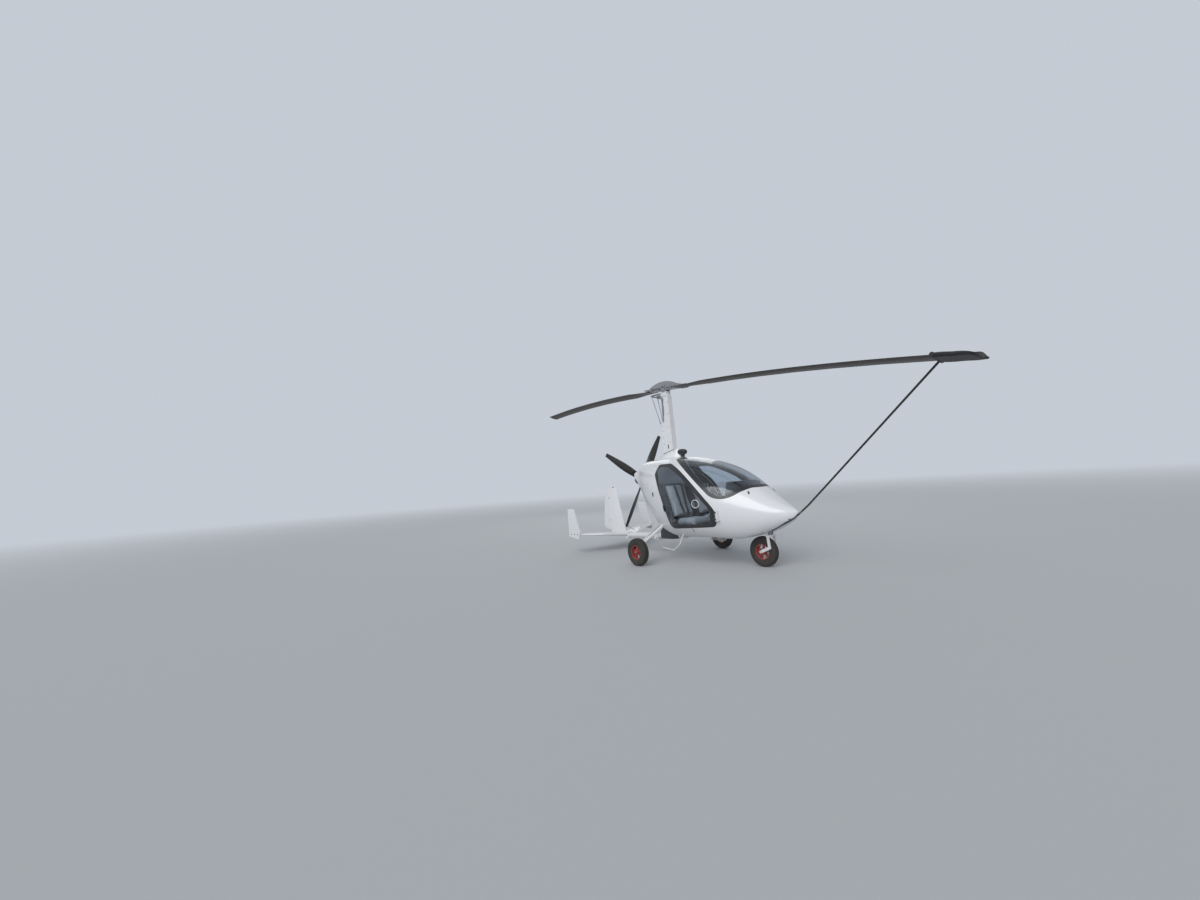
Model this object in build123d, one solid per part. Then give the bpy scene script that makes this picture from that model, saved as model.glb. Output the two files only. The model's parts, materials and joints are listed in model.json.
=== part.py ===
from build123d import *
from math import cos, radians, sin
import os

# Two-seat enclosed gyrocopter, parked on its three wheels, in millimetres.
# +X points to the nose, +Y to port, +Z up. The origin lies on the ground,
# under the middle of the rotor's span.

# Pod: the outer skin as sections from nose to tail
# columns: x, half_width, z_bottom, z_widest, z_top
POD_STATIONS = [
    (2134, 14, 677, 692, 722),
    (2085, 82, 628, 692, 756),
    (1900, 237, 527, 710, 865),
    (1550, 425, 398, 776, 1124),
    (1100, 606, 373, 886, 1366),
    (550, 655, 362, 986, 1512),
    (50, 530, 455, 1070, 1555),
    (-320, 364, 723, 1208, 1537),
    (-640, 245, 1178, 1332, 1396),
]
NOSE_CORE = 4
POD_FLAT_BOTTOM = 0.42
POD_FLAT_TOP = 0.12
POD_WALL = 22
PANE_THICKNESS = 6
INNER_FIT = 0.6
COWL_SPLIT_X = 60
COWL_SEAM_Z = 1130
COWL_SEAM_GAP = 0.5

# Windscreen opening, seen from the side (x, z)
SCREEN_SIDE_TOP = (410, 1500)
SCREEN_SIDE_MIDDLE = (829, 1285)
SCREEN_SIDE_LOW = (1189, 994)
SCREEN_DIP = (1365, 914)
SCREEN_DIP_END = (1562, 989)
SCREEN_FRONT = (1640, 1036)
TRIM_BAND = 40
PANE_GAP = 0.6

# Door opening, seen from the side (x, z)
DOOR_REAR_LOW = (448, 498)
DOOR_REAR_BULGE = (432, 790)
DOOR_REAR_HIGH = (152, 1300)
DOOR_TOP_REAR = (146, 1447)
DOOR_TOP_FRONT = (400, 1447)
DOOR_SLOPE_MIDDLE = (856, 1222)
DOOR_SLOPE_LOW = (1268, 808)
DOOR_NOSE_HIGH = (1289, 765)
DOOR_NOSE_LOW = (1287, 552)
DOOR_CORNER_RADIUS = 75
DOOR_NOSE_RADIUS = 90
DOOR_GAP = 6
DOOR_BAND = 42

# Door hinges, two on the short front edge
HINGE_AXIS_X = 1312
HINGE_HEIGHTS = (655, 745)
HINGE_STANDOFF = 17
HINGE_PIN_RADIUS = 4
HINGE_KNUCKLE_RADIUS = 9
HINGE_KNUCKLE_LENGTH = 24
HINGE_RUNNING = 0.05
HINGE_SIDE_GAP = 1
HINGE_LUG = 10
HINGE_STRAP_REACH = 66
HINGE_STRAP_FOOT = 18
HINGE_STRAP_CLEAR = 8

# Rotor
ROTOR_RADIUS = 4176
ROTOR_HUB_Z = 2695
ROTOR_TILT = 5.4
ROTOR_PARK_ANGLE = -3.0
ROTOR_DROOP = 193
BLADE_CHORD = 205
BLADE_THICKNESS = 25
BLADE_STRAIGHT = 700
HUB_HALF_LENGTH = 345
HUB_WIDTH = 92
HUB_TONGUE = 120
HUB_TONGUE_THICKNESS = 14
HUB_TOP = 103
HUB_END_TOP = 28
HUB_BOTTOM = -40
SPINDLE_RADIUS = 20
HEAD_TOP = -62
HEAD_HEIGHT = 70
HEAD_FLOOR = 20
TEETER_PIN_RADIUS = 10
TEETER_PIN_Z = 12
TEETER_PIN_END = 4
TOWER_CHEEK = 14
TOWER_CHEEK_TOP = 52
TOWER_HALF = 38
TOWER_FOOT = 45
TOWER_GAP = 6
TOWER_FLOOR_GAP = 4
SPINDLE_GAP = 2
TOWER_SIDE_GAP = 2
HEAD_LENGTH = 130
HEAD_WIDTH = 96
HEAD_FOOT_TAPER = 10
HEAD_FOOT_Z = 2585
BEARING_RUNNING = 0.05
SOCK_LENGTH = 365
SOCK_WALL = 12
SOCK_EXTRA_CHORD = 40
SOCK_END = 8

# Mast, seen from the side (x, z)
MAST_FOOT_REAR = (-78, 1480)
MAST_FOOT_FRONT = (134, 1480)
MAST_WAIST = (-88, 1900)
MAST_SHELF = (-138, 2112)
MAST_THROAT_CURVE = (-4, 2166)
MAST_THROAT_LOW = (41, 2275)
MAST_THROAT_HIGH = (47, 2472)
MAST_TOP_REAR = (-44, 2556)
MAST_TOP_FRONT = (96, 2540)
MAST_HALF_THICKNESS = 45

# Fairing at the mast's foot, from the roof up to a sloping seam with a rubber seal
SEAM_X = 23
SEAM_Z = 1642
SEAM_SLOPE = 12
FAIRING_TOP_HALF = (198, 66)
FAIRING_FOOT_X = -35
FAIRING_FOOT_Z = 1470
FAIRING_FOOT_HALF = (345, 185)
SEAL_LIP = 8
SEAL_HEIGHT = 12

# Controls and prerotator shaft behind the rotor head
YOKE_HALF = 62
YOKE_BAR = 14
YOKE_REAR_X = -272
YOKE_FRONT_X = -54
YOKE_Z = 2606
YOKE_DEPTH = 24
PUSHROD_RADIUS = 7
PUSHROD_FOOT = (-122, 30, 2112)
PREROTATOR_X = -86
PREROTATOR_RADIUS = 11
PREROTATOR_ARM = 30

# Propeller
PROP_X = -700
PROP_Z = 1235
PROP_RADIUS = 882
PROP_BLADES = 4
# columns: share of radius, chord, thickness, pitch in degrees
PROP_STATIONS = [(0.07, 62, 44, 52), (0.30, 118, 22, 36), (0.65, 112, 14, 24), (1.0, 58, 7, 16)]
PROP_PARK_ANGLE = -59.5
PROP_HUB_RADIUS = 78
PROP_HUB_LENGTH = 70
SPINNER_RADIUS = 92
SPINNER_LENGTH = 190
# columns: share of the length, share of the radius
SPINNER_PROFILE = [(0.0, 1.0), (0.25, 0.95), (0.5, 0.80), (0.72, 0.58), (0.9, 0.28), (1.0, 0.0)]
GEARBOX_RADIUS = 80
GEARBOX_ROOM = 24
GEARBOX_ROOM_X = -480
PROP_SHAFT_RADIUS = 22
PROP_SIDE_GAP = 6

# Undercarriage
WHEEL_TRACK = 1836
MAIN_WHEEL_X = 136
NOSE_WHEEL_X = 1603
TYRE_RADIUS = 197
TYRE_WIDTH = 108
# columns: share of half the width, share of the height over the rim
TYRE_PROFILE = [(0.74, 0.0), (0.93, 0.2), (1.0, 0.48), (0.95, 0.74), (0.78, 0.91), (0.45, 0.98), (0.0, 1.0)]
RIM_RADIUS = 100
RIM_WIDTH = 84
RIM_WALL = 10
RIM_DISC = 12
RIM_HOLES = 5
RIM_HOLE_RADIUS = 15
RIM_HOLE_CIRCLE = 60
WHEEL_HUB_RADIUS = 30
AXLE_RADIUS = 12.5
AXLE_SHOULDER = 8
AXLE_SIDE_GAP = 1
AXLE_END = 6
WHEEL_RUNNING = 0.05
WHEEL_SIDE_GAP = 5
LEG_INNER = (165, 385, 562)
LEG_OUTER_Z = 300
LEG_CHORD_INNER = 95
LEG_CHORD_OUTER = 75
LEG_THICK_INNER = 34
LEG_THICK_OUTER = 26
LEG_EDGE = 0.4
KNUCKLE_LENGTH = 52
KNUCKLE_THICKNESS = 26
KNUCKLE_BELOW = 28
KNUCKLE_ABOVE = 18
STEER_X = 1725
STEM_RADIUS = 18
FORK_CROWN_TOP = 420
FORK_CROWN_HEIGHT = 24
FORK_CROWN_HALF = 26
FORK_BAR_RADIUS = 17
FORK_THICKNESS = 14
FORK_ELBOW = (1740, 258)
FORK_TYRE_GAP = 9
FORK_AXLE_END = 8
HOUSING_WALL = 12
HOUSING_TOP = 560

# Keel and tail
KEEL_RADIUS = 45
KEEL_FRONT = (245, 330)
KEEL_REAR = (-1186, 262)
KEEL_TAIL_OVERLAP = 60
COLLAR_LENGTH = 62
COLLAR_MARGIN = 9
GUSSET_FRONT_X = -385
GUSSET_REAR_X = -570
GUSSET_DROP = 78
GUSSET_RISE = 58
GUSSET_TIP = 12
GUSSET_LIP = 8
GUSSET_THICKNESS = 12
SADDLE_LENGTH = 150
SADDLE_HALF_WIDTH = 57
SADDLE_TOP = 480
STAB_HALF_SPAN = 839
STAB_ROOT_LE_X = -1186
STAB_ROOT_TE_X = -1850
STAB_TIP_LE_X = -1517
STAB_TIP_TE_X = -1885
STAB_ROOT_Z = 268
STAB_TIP_Z = 345
STAB_ROOT_THICKNESS = 62
STAB_TIP_THICKNESS = 30
TIP_FIN_THICKNESS = 22
TIP_FIN_OUTLINE = [(-1892, 794), (-1698, 794), (-1517, 385), (-1552, 268), (-1884, 300)]
FIN_FOOT_X = -1282
FIN_TOP_X = -1516
FIN_TOP_Z = 1132
FIN_TOP_SLOPE = 57
FIN_HINGE_X = -1700
FIN_THICKNESS = 40
RUDDER_GAP = 6
RUDDER_FOOT_Z = 345
RUDDER_TE_TOP_X = -1847
RUDDER_TE_LOW = (-1954, 402)
RUDDER_TE_THICKNESS = 5
RUDDER_PIN_RADIUS = 5
RUDDER_NOSE_RADIUS = 20
RUDDER_HINGE_HEIGHTS = (520, 930)
RUDDER_HINGE_PLATE = 10
RUDDER_HINGE_GAP = 2
RUDDER_PIN_LENGTH = 46

# Cabin
FLOOR_Z = 440
FLOOR_THICKNESS = 10
FLOOR_REAR_X = 320
FLOOR_FRONT_X = 1560
SEAT_OFFSET_Y = 265
SEAT_HALF_WIDTH = 205
SEAT_BASE_TOP = 545
SEAT_BASE_INSET = 25
SEAT_BASE_REACH = 60
SEAT_CORNER = 16
SEAT_PAD = 95
SEAT_FRONT_X = 870
SEAT_BACK_FOOT_X = 430
SEAT_BACK_TOP = (255, 1150)
SEAT_BACK_THICKNESS = 95
SEAT_CLEARANCE = 0.4
PANEL_FRONT_X = 1410
PANEL_DEPTH = 110
PANEL_HALF_WIDTH = 330
PANEL_BOTTOM = 830
PANEL_TOP = 1115
PANEL_SLOPE = 40
CONSOLE_HALF_WIDTH = 55
CONSOLE_REAR_X = 900
CONSOLE_TOP = 640
STICK_X = 980
STICK_TOP = 820
STICK_RADIUS = 11
GRIP_RADIUS = 19
GRIP_LENGTH = 90
STICK_BOOT_RADIUS = 37
STICK_BOOT_HEIGHT = 30
PEDAL_X = 1480
PEDAL_TOP = 620
PEDAL_OFFSET = 50
PEDAL_HALF_WIDTH = 28

# Engine, one plain block at its place under the cowl
ENGINE_FRONT_X = 20
ENGINE_REAR_X = -330
ENGINE_HALF_WIDTH = 185
ENGINE_BOTTOM = 880
ENGINE_TOP = 1330
ENGINE_MOUNT_Y = 130
ENGINE_MOUNT_Z = (930, 1260)
ENGINE_MOUNT_RADIUS = 14
BELLY_OPENING = (-300, 40, 190)
FIREWALL_THICKNESS = 10

# Small fittings
CAP_X = 272
CAP_LENGTH = 200
CAP_WIDTH = 110
CAP_LOW_Z = 1510
CAP_HEIGHT = 160
# columns: share of the height, share of the width
CAP_PROFILE = [(0.0, 0.45), (0.42, 0.5), (0.55, 0.92), (0.75, 1.0), (0.92, 0.8), (1.0, 0.45)]
STEP_TUBE_RADIUS = 11
# columns: x, y, z
STEP_PATH = [(590, 400, 452), (655, 520, 385), (622, 545, 290), (500, 545, 200), (250, 525, 212)]

TILT = radians(ROTOR_TILT)
ROTOR_HUB_X = ROTOR_DROOP * sin(TILT)
SIDES = [("starboard", -1), ("port", 1)]

os.makedirs("parts", exist_ok=True)
NODES = {}


def keep(name, shape):
    NODES[name] = shape


def pod_section(station, inset, shift):
    x, half_width, z_bottom, z_widest, z_top = station
    width = max(half_width - inset, NOSE_CORE)
    low = min(z_bottom + inset, z_widest - NOSE_CORE)
    high = max(z_top - inset, z_widest + NOSE_CORE)
    flat_low = width * POD_FLAT_BOTTOM
    flat_high = width * POD_FLAT_TOP
    plane = Plane(origin=(x + shift, 0, 0), x_dir=(0, 1, 0), z_dir=(1, 0, 0))
    with BuildSketch(plane) as sketch:
        with BuildLine():
            Line((-flat_low, low), (flat_low, low))
            EllipticalCenterArc((flat_low, z_widest), width - flat_low, z_widest - low, -90, arc_size=90)
            EllipticalCenterArc((flat_high, z_widest), width - flat_high, high - z_widest, 0, arc_size=90)
            Line((flat_high, high), (-flat_high, high))
            EllipticalCenterArc((-flat_high, z_widest), width - flat_high, high - z_widest, 90, arc_size=90)
            EllipticalCenterArc((-flat_low, z_widest), width - flat_low, z_widest - low, 180, arc_size=90)
        make_face()
    return sketch.sketch.face()


def pod_solid(inset):
    """The pod's form, drawn in by an inset; an inset one runs out through the open rear end."""
    sections = []
    last = len(POD_STATIONS) - 1
    for index, station in enumerate(POD_STATIONS):
        shift = 0
        if inset and index == 0:
            shift = -inset
        if inset and index == last:
            shift = -1
        sections.append(pod_section(station, inset, shift))
    return loft(sections)


def side_prism(face, y_from, y_to):
    """A face drawn in side view, pushed through from one y to another."""
    return Pos(0, y_from, 0) * extrude(face, amount=y_to - y_from, dir=(0, 1, 0))


def polygon_xz(points):
    with BuildSketch(Plane.XZ) as sketch:
        with BuildLine():
            Polyline(*points, close=True)
        make_face()
    return sketch.sketch.face()


def screen_face(inset):
    high = POD_STATIONS[0][0]
    rear_high = (SCREEN_SIDE_TOP[0], high)
    front_high = (high + 200, high)
    with BuildSketch(Plane.XZ) as sketch:
        with BuildLine():
            Line(rear_high, SCREEN_SIDE_TOP)
            ThreePointArc(SCREEN_SIDE_TOP, SCREEN_SIDE_MIDDLE, SCREEN_SIDE_LOW)
            ThreePointArc(SCREEN_SIDE_LOW, SCREEN_DIP, SCREEN_DIP_END)
            Polyline(SCREEN_DIP_END, SCREEN_FRONT, (front_high[0], SCREEN_FRONT[1]), front_high, rear_high)
        make_face()
        if inset:
            offset(amount=-inset, kind=Kind.INTERSECTION)
    return sketch.sketch.face()


def door_face(inset):
    with BuildSketch(Plane.XZ) as sketch:
        with BuildLine():
            ThreePointArc(DOOR_REAR_LOW, DOOR_REAR_BULGE, DOOR_REAR_HIGH)
            Polyline(DOOR_REAR_HIGH, DOOR_TOP_REAR, DOOR_TOP_FRONT)
            ThreePointArc(DOOR_TOP_FRONT, DOOR_SLOPE_MIDDLE, DOOR_SLOPE_LOW)
            Polyline(DOOR_SLOPE_LOW, DOOR_NOSE_HIGH, DOOR_NOSE_LOW, DOOR_REAR_LOW)
        make_face()
        for corner, radius in [(DOOR_REAR_LOW, DOOR_CORNER_RADIUS), (DOOR_TOP_REAR, DOOR_CORNER_RADIUS),
                               (DOOR_TOP_FRONT, DOOR_NOSE_RADIUS), (DOOR_NOSE_LOW, DOOR_NOSE_RADIUS)]:
            fillet(sketch.vertices().sort_by_distance((corner[0], 0, corner[1]))[0], radius)
        if inset:
            offset(amount=-inset)
    return sketch.sketch.face()


def slab(x0, x1, y0, y1, z0, z1):
    return Pos((x0 + x1) / 2, (y0 + y1) / 2, (z0 + z1) / 2) * Box(x1 - x0, y1 - y0, z1 - z0)


def rod(start, end, radius):
    """A round bar between two points."""
    a = Vector(*start)
    b = Vector(*end)
    plane = Plane(origin=a, z_dir=b - a)
    return extrude(plane * Circle(radius), amount=(b - a).length)


def cross_pin(x, z, y0, y1, radius):
    """A round bar along Y."""
    return rod((x, y0, z), (x, y1, z), radius)


def upright(x, z, half_length, radius):
    """A round pin along Z in the middle plane."""
    return rod((x, 0, z - half_length), (x, 0, z + half_length), radius)


def bar_xz(start, end, radius, y0, y1):
    """A flat bar with round ends, seen from the side, between two heights of y."""
    with BuildSketch(Plane.XZ) as sketch:
        with Locations(start):
            Circle(radius)
        with Locations(end):
            Circle(radius)
        make_hull()
    return side_prism(sketch.sketch.face(), min(y0, y1), max(y0, y1))


# Pod skin and what is cut from it
pod_outer = pod_solid(0)
pod_inner = pod_solid(POD_WALL)
pod_lining = pod_solid(POD_WALL + INNER_FIT)
pod_pane = pod_solid(PANE_THICKNESS)
skin = pod_outer - pod_inner
pane_skin = pod_outer - pod_pane
POD_LENGTH_BOX = POD_STATIONS[0][0] + 100
FULL_Y = 900
FULL_Z = 2000


def skin_y(x, z):
    """Half width of the pod's skin at x and height z."""
    crossing = pod_outer & Line((x, 0, z), (x, FULL_Y, z))
    return crossing.bounding_box().max.Y


def screen_prism(inset):
    return side_prism(screen_face(inset), -FULL_Y, FULL_Y)


def door_prism(side, inset):
    return side_prism(door_face(inset), min(0, side * FULL_Y), max(0, side * FULL_Y))


def leg_plane(share):
    """Section plane of the starboard leg, at a share of the way from pod to wheel."""
    x0, y0, z0 = LEG_INNER
    y1 = WHEEL_TRACK / 2 - TYRE_WIDTH / 2 - WHEEL_SIDE_GAP - KNUCKLE_THICKNESS / 2
    start = Vector(x0, -y0, z0)
    end = Vector(MAIN_WHEEL_X, -y1, LEG_OUTER_Z)
    return Plane(origin=start + (end - start) * share, x_dir=(1, 0, 0), z_dir=end - start)


def leg_blade(clearance):
    """The starboard spring leg: a flat blade that narrows to the wheel."""
    sections = []
    for share, chord, thick in [(0, LEG_CHORD_INNER, LEG_THICK_INNER), (1, LEG_CHORD_OUTER, LEG_THICK_OUTER)]:
        half_chord = chord / 2 + clearance
        half_thick = thick / 2 + clearance
        flat = half_chord - thick * LEG_EDGE
        outline = [(half_chord, 0), (flat, half_thick), (-flat, half_thick),
                   (-half_chord, 0), (-flat, -half_thick), (flat, -half_thick)]
        sections.append((leg_plane(share) * make_face(Polyline(*outline, close=True))).face())
    return loft(sections, ruled=True)


def to_side(shape, side):
    """A starboard shape, or its mirror image to port."""
    return shape if side < 0 else mirror(shape, about=Plane.XZ)


# Cabin shell, with its windscreen, doors, leg slots and steering housing cut out
HOUSING_RADIUS = STEM_RADIUS + HOUSING_WALL
cabin = skin & slab(COWL_SPLIT_X, POD_LENGTH_BOX, -FULL_Y, FULL_Y, 0, FULL_Z)
cabin -= screen_prism(0)
for name, side in SIDES:
    cabin -= door_prism(side, 0)
    cabin -= to_side(leg_blade(INNER_FIT), side)
cabin -= rod((STEER_X, 0, 0), (STEER_X, 0, HOUSING_TOP), HOUSING_RADIUS + INNER_FIT)
keep("cabin_shell", cabin)

keep("windscreen_trim", (skin & screen_prism(PANE_GAP)) - screen_prism(TRIM_BAND))
keep("windscreen_pane", pane_skin & screen_prism(TRIM_BAND + PANE_GAP))

# Doors, hinged on their short front edge
HINGE_SKIN_Y = skin_y(HINGE_AXIS_X, HINGE_HEIGHTS[-1] + HINGE_KNUCKLE_LENGTH)
HINGE_AXIS_Y = HINGE_SKIN_Y + HINGE_STANDOFF


def door_knuckles():
    """Two hinge straps of the starboard door, with their bored knuckles."""
    straps = None
    for height in HINGE_HEIGHTS:
        low = height - HINGE_KNUCKLE_LENGTH / 2
        high = height + HINGE_KNUCKLE_LENGTH / 2
        foot_x = HINGE_AXIS_X - HINGE_STRAP_REACH
        toe_x = foot_x + HINGE_STRAP_FOOT
        knuckle = rod((HINGE_AXIS_X, -HINGE_AXIS_Y, low), (HINGE_AXIS_X, -HINGE_AXIS_Y, high),
                      HINGE_KNUCKLE_RADIUS)
        toe_y = skin_y(toe_x, height)
        foot_y = skin_y(foot_x, height)
        with BuildSketch(Plane.XY.offset(low)) as plan:
            with BuildLine():
                Polyline((HINGE_AXIS_X, -HINGE_AXIS_Y - 5), (HINGE_AXIS_X, -HINGE_AXIS_Y + 3),
                         (toe_x, -toe_y - HINGE_STRAP_CLEAR), (toe_x, -toe_y + 9),
                         (foot_x, -foot_y + 9), (foot_x, -foot_y - HINGE_STRAP_CLEAR - 6),
                         (toe_x, -toe_y - HINGE_STRAP_CLEAR - 7), (HINGE_AXIS_X, -HINGE_AXIS_Y - 5))
            make_face()
        strap = extrude(plan.sketch.face(), amount=HINGE_KNUCKLE_LENGTH, dir=(0, 0, 1))
        piece = knuckle + strap
        straps = piece if straps is None else straps + piece
    bore = rod((HINGE_AXIS_X, -HINGE_AXIS_Y, 0), (HINGE_AXIS_X, -HINGE_AXIS_Y, FULL_Z),
               HINGE_PIN_RADIUS + HINGE_RUNNING)
    return straps - bore


def hinge_brackets():
    """The starboard hinge bracket: lugs above and below each knuckle, and the pins they hold."""
    back_x = HINGE_AXIS_X + HINGE_KNUCKLE_RADIUS + 4
    lowest = HINGE_HEIGHTS[0] - HINGE_KNUCKLE_LENGTH / 2 - HINGE_SIDE_GAP - HINGE_LUG
    highest = HINGE_HEIGHTS[-1] + HINGE_KNUCKLE_LENGTH / 2 + HINGE_SIDE_GAP + HINGE_LUG
    bracket = slab(back_x, back_x + 16, -HINGE_AXIS_Y - 4, -HINGE_AXIS_Y + 60, lowest, highest)
    for height in HINGE_HEIGHTS:
        reach = HINGE_KNUCKLE_LENGTH / 2 + HINGE_SIDE_GAP
        for low in (height - reach - HINGE_LUG, height + reach):
            lug = rod((HINGE_AXIS_X, -HINGE_AXIS_Y, low), (HINGE_AXIS_X, -HINGE_AXIS_Y, low + HINGE_LUG),
                      HINGE_KNUCKLE_RADIUS)
            lug += slab(HINGE_AXIS_X, back_x + 2, -HINGE_AXIS_Y - 4, -HINGE_AXIS_Y + 30, low, low + HINGE_LUG)
            bracket += lug
        bracket += rod((HINGE_AXIS_X, -HINGE_AXIS_Y, height - reach - HINGE_LUG),
                       (HINGE_AXIS_X, -HINGE_AXIS_Y, height + reach + HINGE_LUG), HINGE_PIN_RADIUS)
    return bracket - pod_outer


starboard_frame = (skin & door_prism(-1, DOOR_GAP)) - door_prism(-1, DOOR_GAP + DOOR_BAND) + door_knuckles()
starboard_pane = pane_skin & door_prism(-1, DOOR_GAP + DOOR_BAND + PANE_GAP)
starboard_brackets = hinge_brackets()
for name, side in SIDES:
    keep(f"door_frame_{name}", to_side(starboard_frame, side))
    keep(f"door_pane_{name}", to_side(starboard_pane, side))
keep("door_hinges", starboard_brackets + to_side(starboard_brackets, 1))

# Engine cowl in two panels, open at the rear end and under the engine
cowl = skin & slab(POD_STATIONS[-1][0] - 100, COWL_SPLIT_X - COWL_SEAM_GAP, -FULL_Y, FULL_Y, 0, FULL_Z)
belly_rear, belly_front, belly_half = BELLY_OPENING
cowl_lower = cowl & slab(-FULL_Z, FULL_Z, -FULL_Y, FULL_Y, 0, COWL_SEAM_Z - COWL_SEAM_GAP)
cowl_lower -= slab(belly_rear, belly_front, -belly_half, belly_half, 0, ENGINE_BOTTOM)
cowl_upper = cowl & slab(-FULL_Z, FULL_Z, -FULL_Y, FULL_Y, COWL_SEAM_Z, FULL_Z)
gearbox_room = rod((-FULL_Z, 0, PROP_Z), (GEARBOX_ROOM_X, 0, PROP_Z), GEARBOX_RADIUS + GEARBOX_ROOM)
keep("cowl_upper", cowl_upper - gearbox_room)
keep("cowl_lower", cowl_lower - gearbox_room)

firewall_x = COWL_SPLIT_X + 2
keep("firewall", pod_lining & slab(firewall_x, firewall_x + FIREWALL_THICKNESS, -FULL_Y, FULL_Y, 0, FULL_Z))

# Engine block, gearbox and propeller
engine = slab(ENGINE_REAR_X, ENGINE_FRONT_X, -ENGINE_HALF_WIDTH, ENGINE_HALF_WIDTH, ENGINE_BOTTOM, ENGINE_TOP)
prop_front = PROP_X + PROP_HUB_LENGTH / 2
engine += rod((ENGINE_REAR_X + 2, 0, PROP_Z), (prop_front + PROP_SIDE_GAP, 0, PROP_Z), GEARBOX_RADIUS)
engine += rod((ENGINE_REAR_X, 0, PROP_Z), (PROP_X - PROP_HUB_LENGTH / 2 + 10, 0, PROP_Z), PROP_SHAFT_RADIUS)
for y in (-ENGINE_MOUNT_Y, ENGINE_MOUNT_Y):
    for z in ENGINE_MOUNT_Z:
        engine += rod((ENGINE_FRONT_X - 2, y, z), (COWL_SPLIT_X + 2, y, z), ENGINE_MOUNT_RADIUS)
keep("engine_block", engine)


def at_prop(shape):
    return Pos(PROP_X, 0, PROP_Z) * shape


def prop_blade():
    """A blade standing up along +Z: the pitch eases off from root to tip."""
    sections = []
    for share, chord, thick, pitch in PROP_STATIONS:
        plane = Plane(origin=(0, 0, share * PROP_RADIUS), x_dir=(sin(radians(pitch)), cos(radians(pitch)), 0),
                      z_dir=(0, 0, 1))
        with BuildSketch(plane) as sketch:
            with BuildLine():
                ThreePointArc((-chord / 2, 0), (0, thick * 0.6), (chord / 2, 0))
                ThreePointArc((chord / 2, 0), (0, -thick * 0.4), (-chord / 2, 0))
            make_face()
        sections.append(sketch.sketch.face())
    return loft(sections)


blade_form = prop_blade()
hub = rod((-PROP_HUB_LENGTH / 2, 0, 0), (PROP_HUB_LENGTH / 2, 0, 0), PROP_HUB_RADIUS)
spinner_line = [(-SPINNER_LENGTH * along, SPINNER_RADIUS * out) for along, out in SPINNER_PROFILE]
with BuildSketch(Plane.XZ) as spinner_profile:
    with BuildLine():
        Polyline((0, 0), *spinner_line, close=True)
    make_face()
spinner = revolve(spinner_profile.sketch.face(), axis=Axis.X)
for index in range(PROP_BLADES):
    turn = Rot(-(PROP_PARK_ANGLE + index * 360 / PROP_BLADES), 0, 0)
    blade = turn * blade_form
    hub -= blade
    keep(f"propeller_blade_{index + 1}", at_prop(blade))
hub -= rod((-PROP_HUB_LENGTH / 2 + 8, 0, 0), (PROP_HUB_LENGTH, 0, 0), PROP_SHAFT_RADIUS + BEARING_RUNNING)
keep("propeller_hub", at_prop(hub))
keep("propeller_spinner", at_prop(Pos(-PROP_HUB_LENGTH / 2, 0, 0) * spinner))

# Mast, its fairing and the seal between them
mast_half = MAST_HALF_THICKNESS
with BuildSketch(Plane.XZ) as mast_sketch:
    with BuildLine():
        Polyline(MAST_SHELF, MAST_WAIST, MAST_FOOT_REAR, MAST_FOOT_FRONT, MAST_TOP_FRONT, MAST_TOP_REAR,
                 MAST_THROAT_HIGH, MAST_THROAT_LOW)
        ThreePointArc(MAST_THROAT_LOW, MAST_THROAT_CURVE, MAST_SHELF)
    make_face()
mast_prism = side_prism(mast_sketch.sketch.face(), -mast_half, mast_half)
mast = mast_prism - pod_outer
keep("mast", mast)
seam_plane = Plane(origin=(SEAM_X, 0, SEAM_Z), x_dir=(cos(radians(SEAM_SLOPE)), 0, sin(radians(SEAM_SLOPE))),
                   z_dir=(-sin(radians(SEAM_SLOPE)), 0, cos(radians(SEAM_SLOPE))))
foot_plane = Plane(origin=(FAIRING_FOOT_X, 0, FAIRING_FOOT_Z), x_dir=(1, 0, 0), z_dir=(0, 0, 1))
fairing_foot = (foot_plane * Ellipse(*FAIRING_FOOT_HALF)).face()
fairing = loft([fairing_foot, (seam_plane * Ellipse(*FAIRING_TOP_HALF)).face()])
keep("mast_fairing", fairing - pod_outer - mast_prism)
seal_length = MAST_FOOT_FRONT[0] - MAST_FOOT_REAR[0] + 2 * SEAL_LIP
seal_band = extrude(seam_plane * Rectangle(seal_length, 2 * (mast_half + SEAL_LIP)), amount=SEAL_HEIGHT)
keep("mast_seal", seal_band - mast_prism)


def at_rotor(shape):
    """From the rotor's own frame, blades along X, to its tilted place on the mast."""
    return Pos(ROTOR_HUB_X, 0, ROTOR_HUB_Z) * Rot(0, ROTOR_TILT, 0) * Rot(0, 0, ROTOR_PARK_ANGLE) * shape


def at_head(shape):
    """From the rotor head's own frame, which tilts but doesn't turn."""
    return Pos(ROTOR_HUB_X, 0, ROTOR_HUB_Z) * Rot(0, ROTOR_TILT, 0) * shape


# Rotor head on the mast, with the yoke and the rods that tilt it
head = at_head(slab(-HEAD_LENGTH / 2, HEAD_LENGTH / 2, -HEAD_WIDTH / 2, HEAD_WIDTH / 2,
                    HEAD_TOP - HEAD_HEIGHT, HEAD_TOP))
foot_face = polygon_xz([MAST_TOP_REAR, MAST_TOP_FRONT, (MAST_TOP_FRONT[0] - HEAD_FOOT_TAPER, HEAD_FOOT_Z),
                        (MAST_TOP_REAR[0] + HEAD_FOOT_TAPER, HEAD_FOOT_Z)])
head += side_prism(foot_face, HEAD_FOOT_TAPER - mast_half, mast_half - HEAD_FOOT_TAPER)
bore_low = HEAD_TOP - HEAD_HEIGHT + HEAD_FLOOR
head -= at_head(rod((0, 0, bore_low), (0, 0, HEAD_TOP + HEAD_FLOOR), SPINDLE_RADIUS + BEARING_RUNNING))
head -= mast
keep("rotor_head", head)

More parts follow.
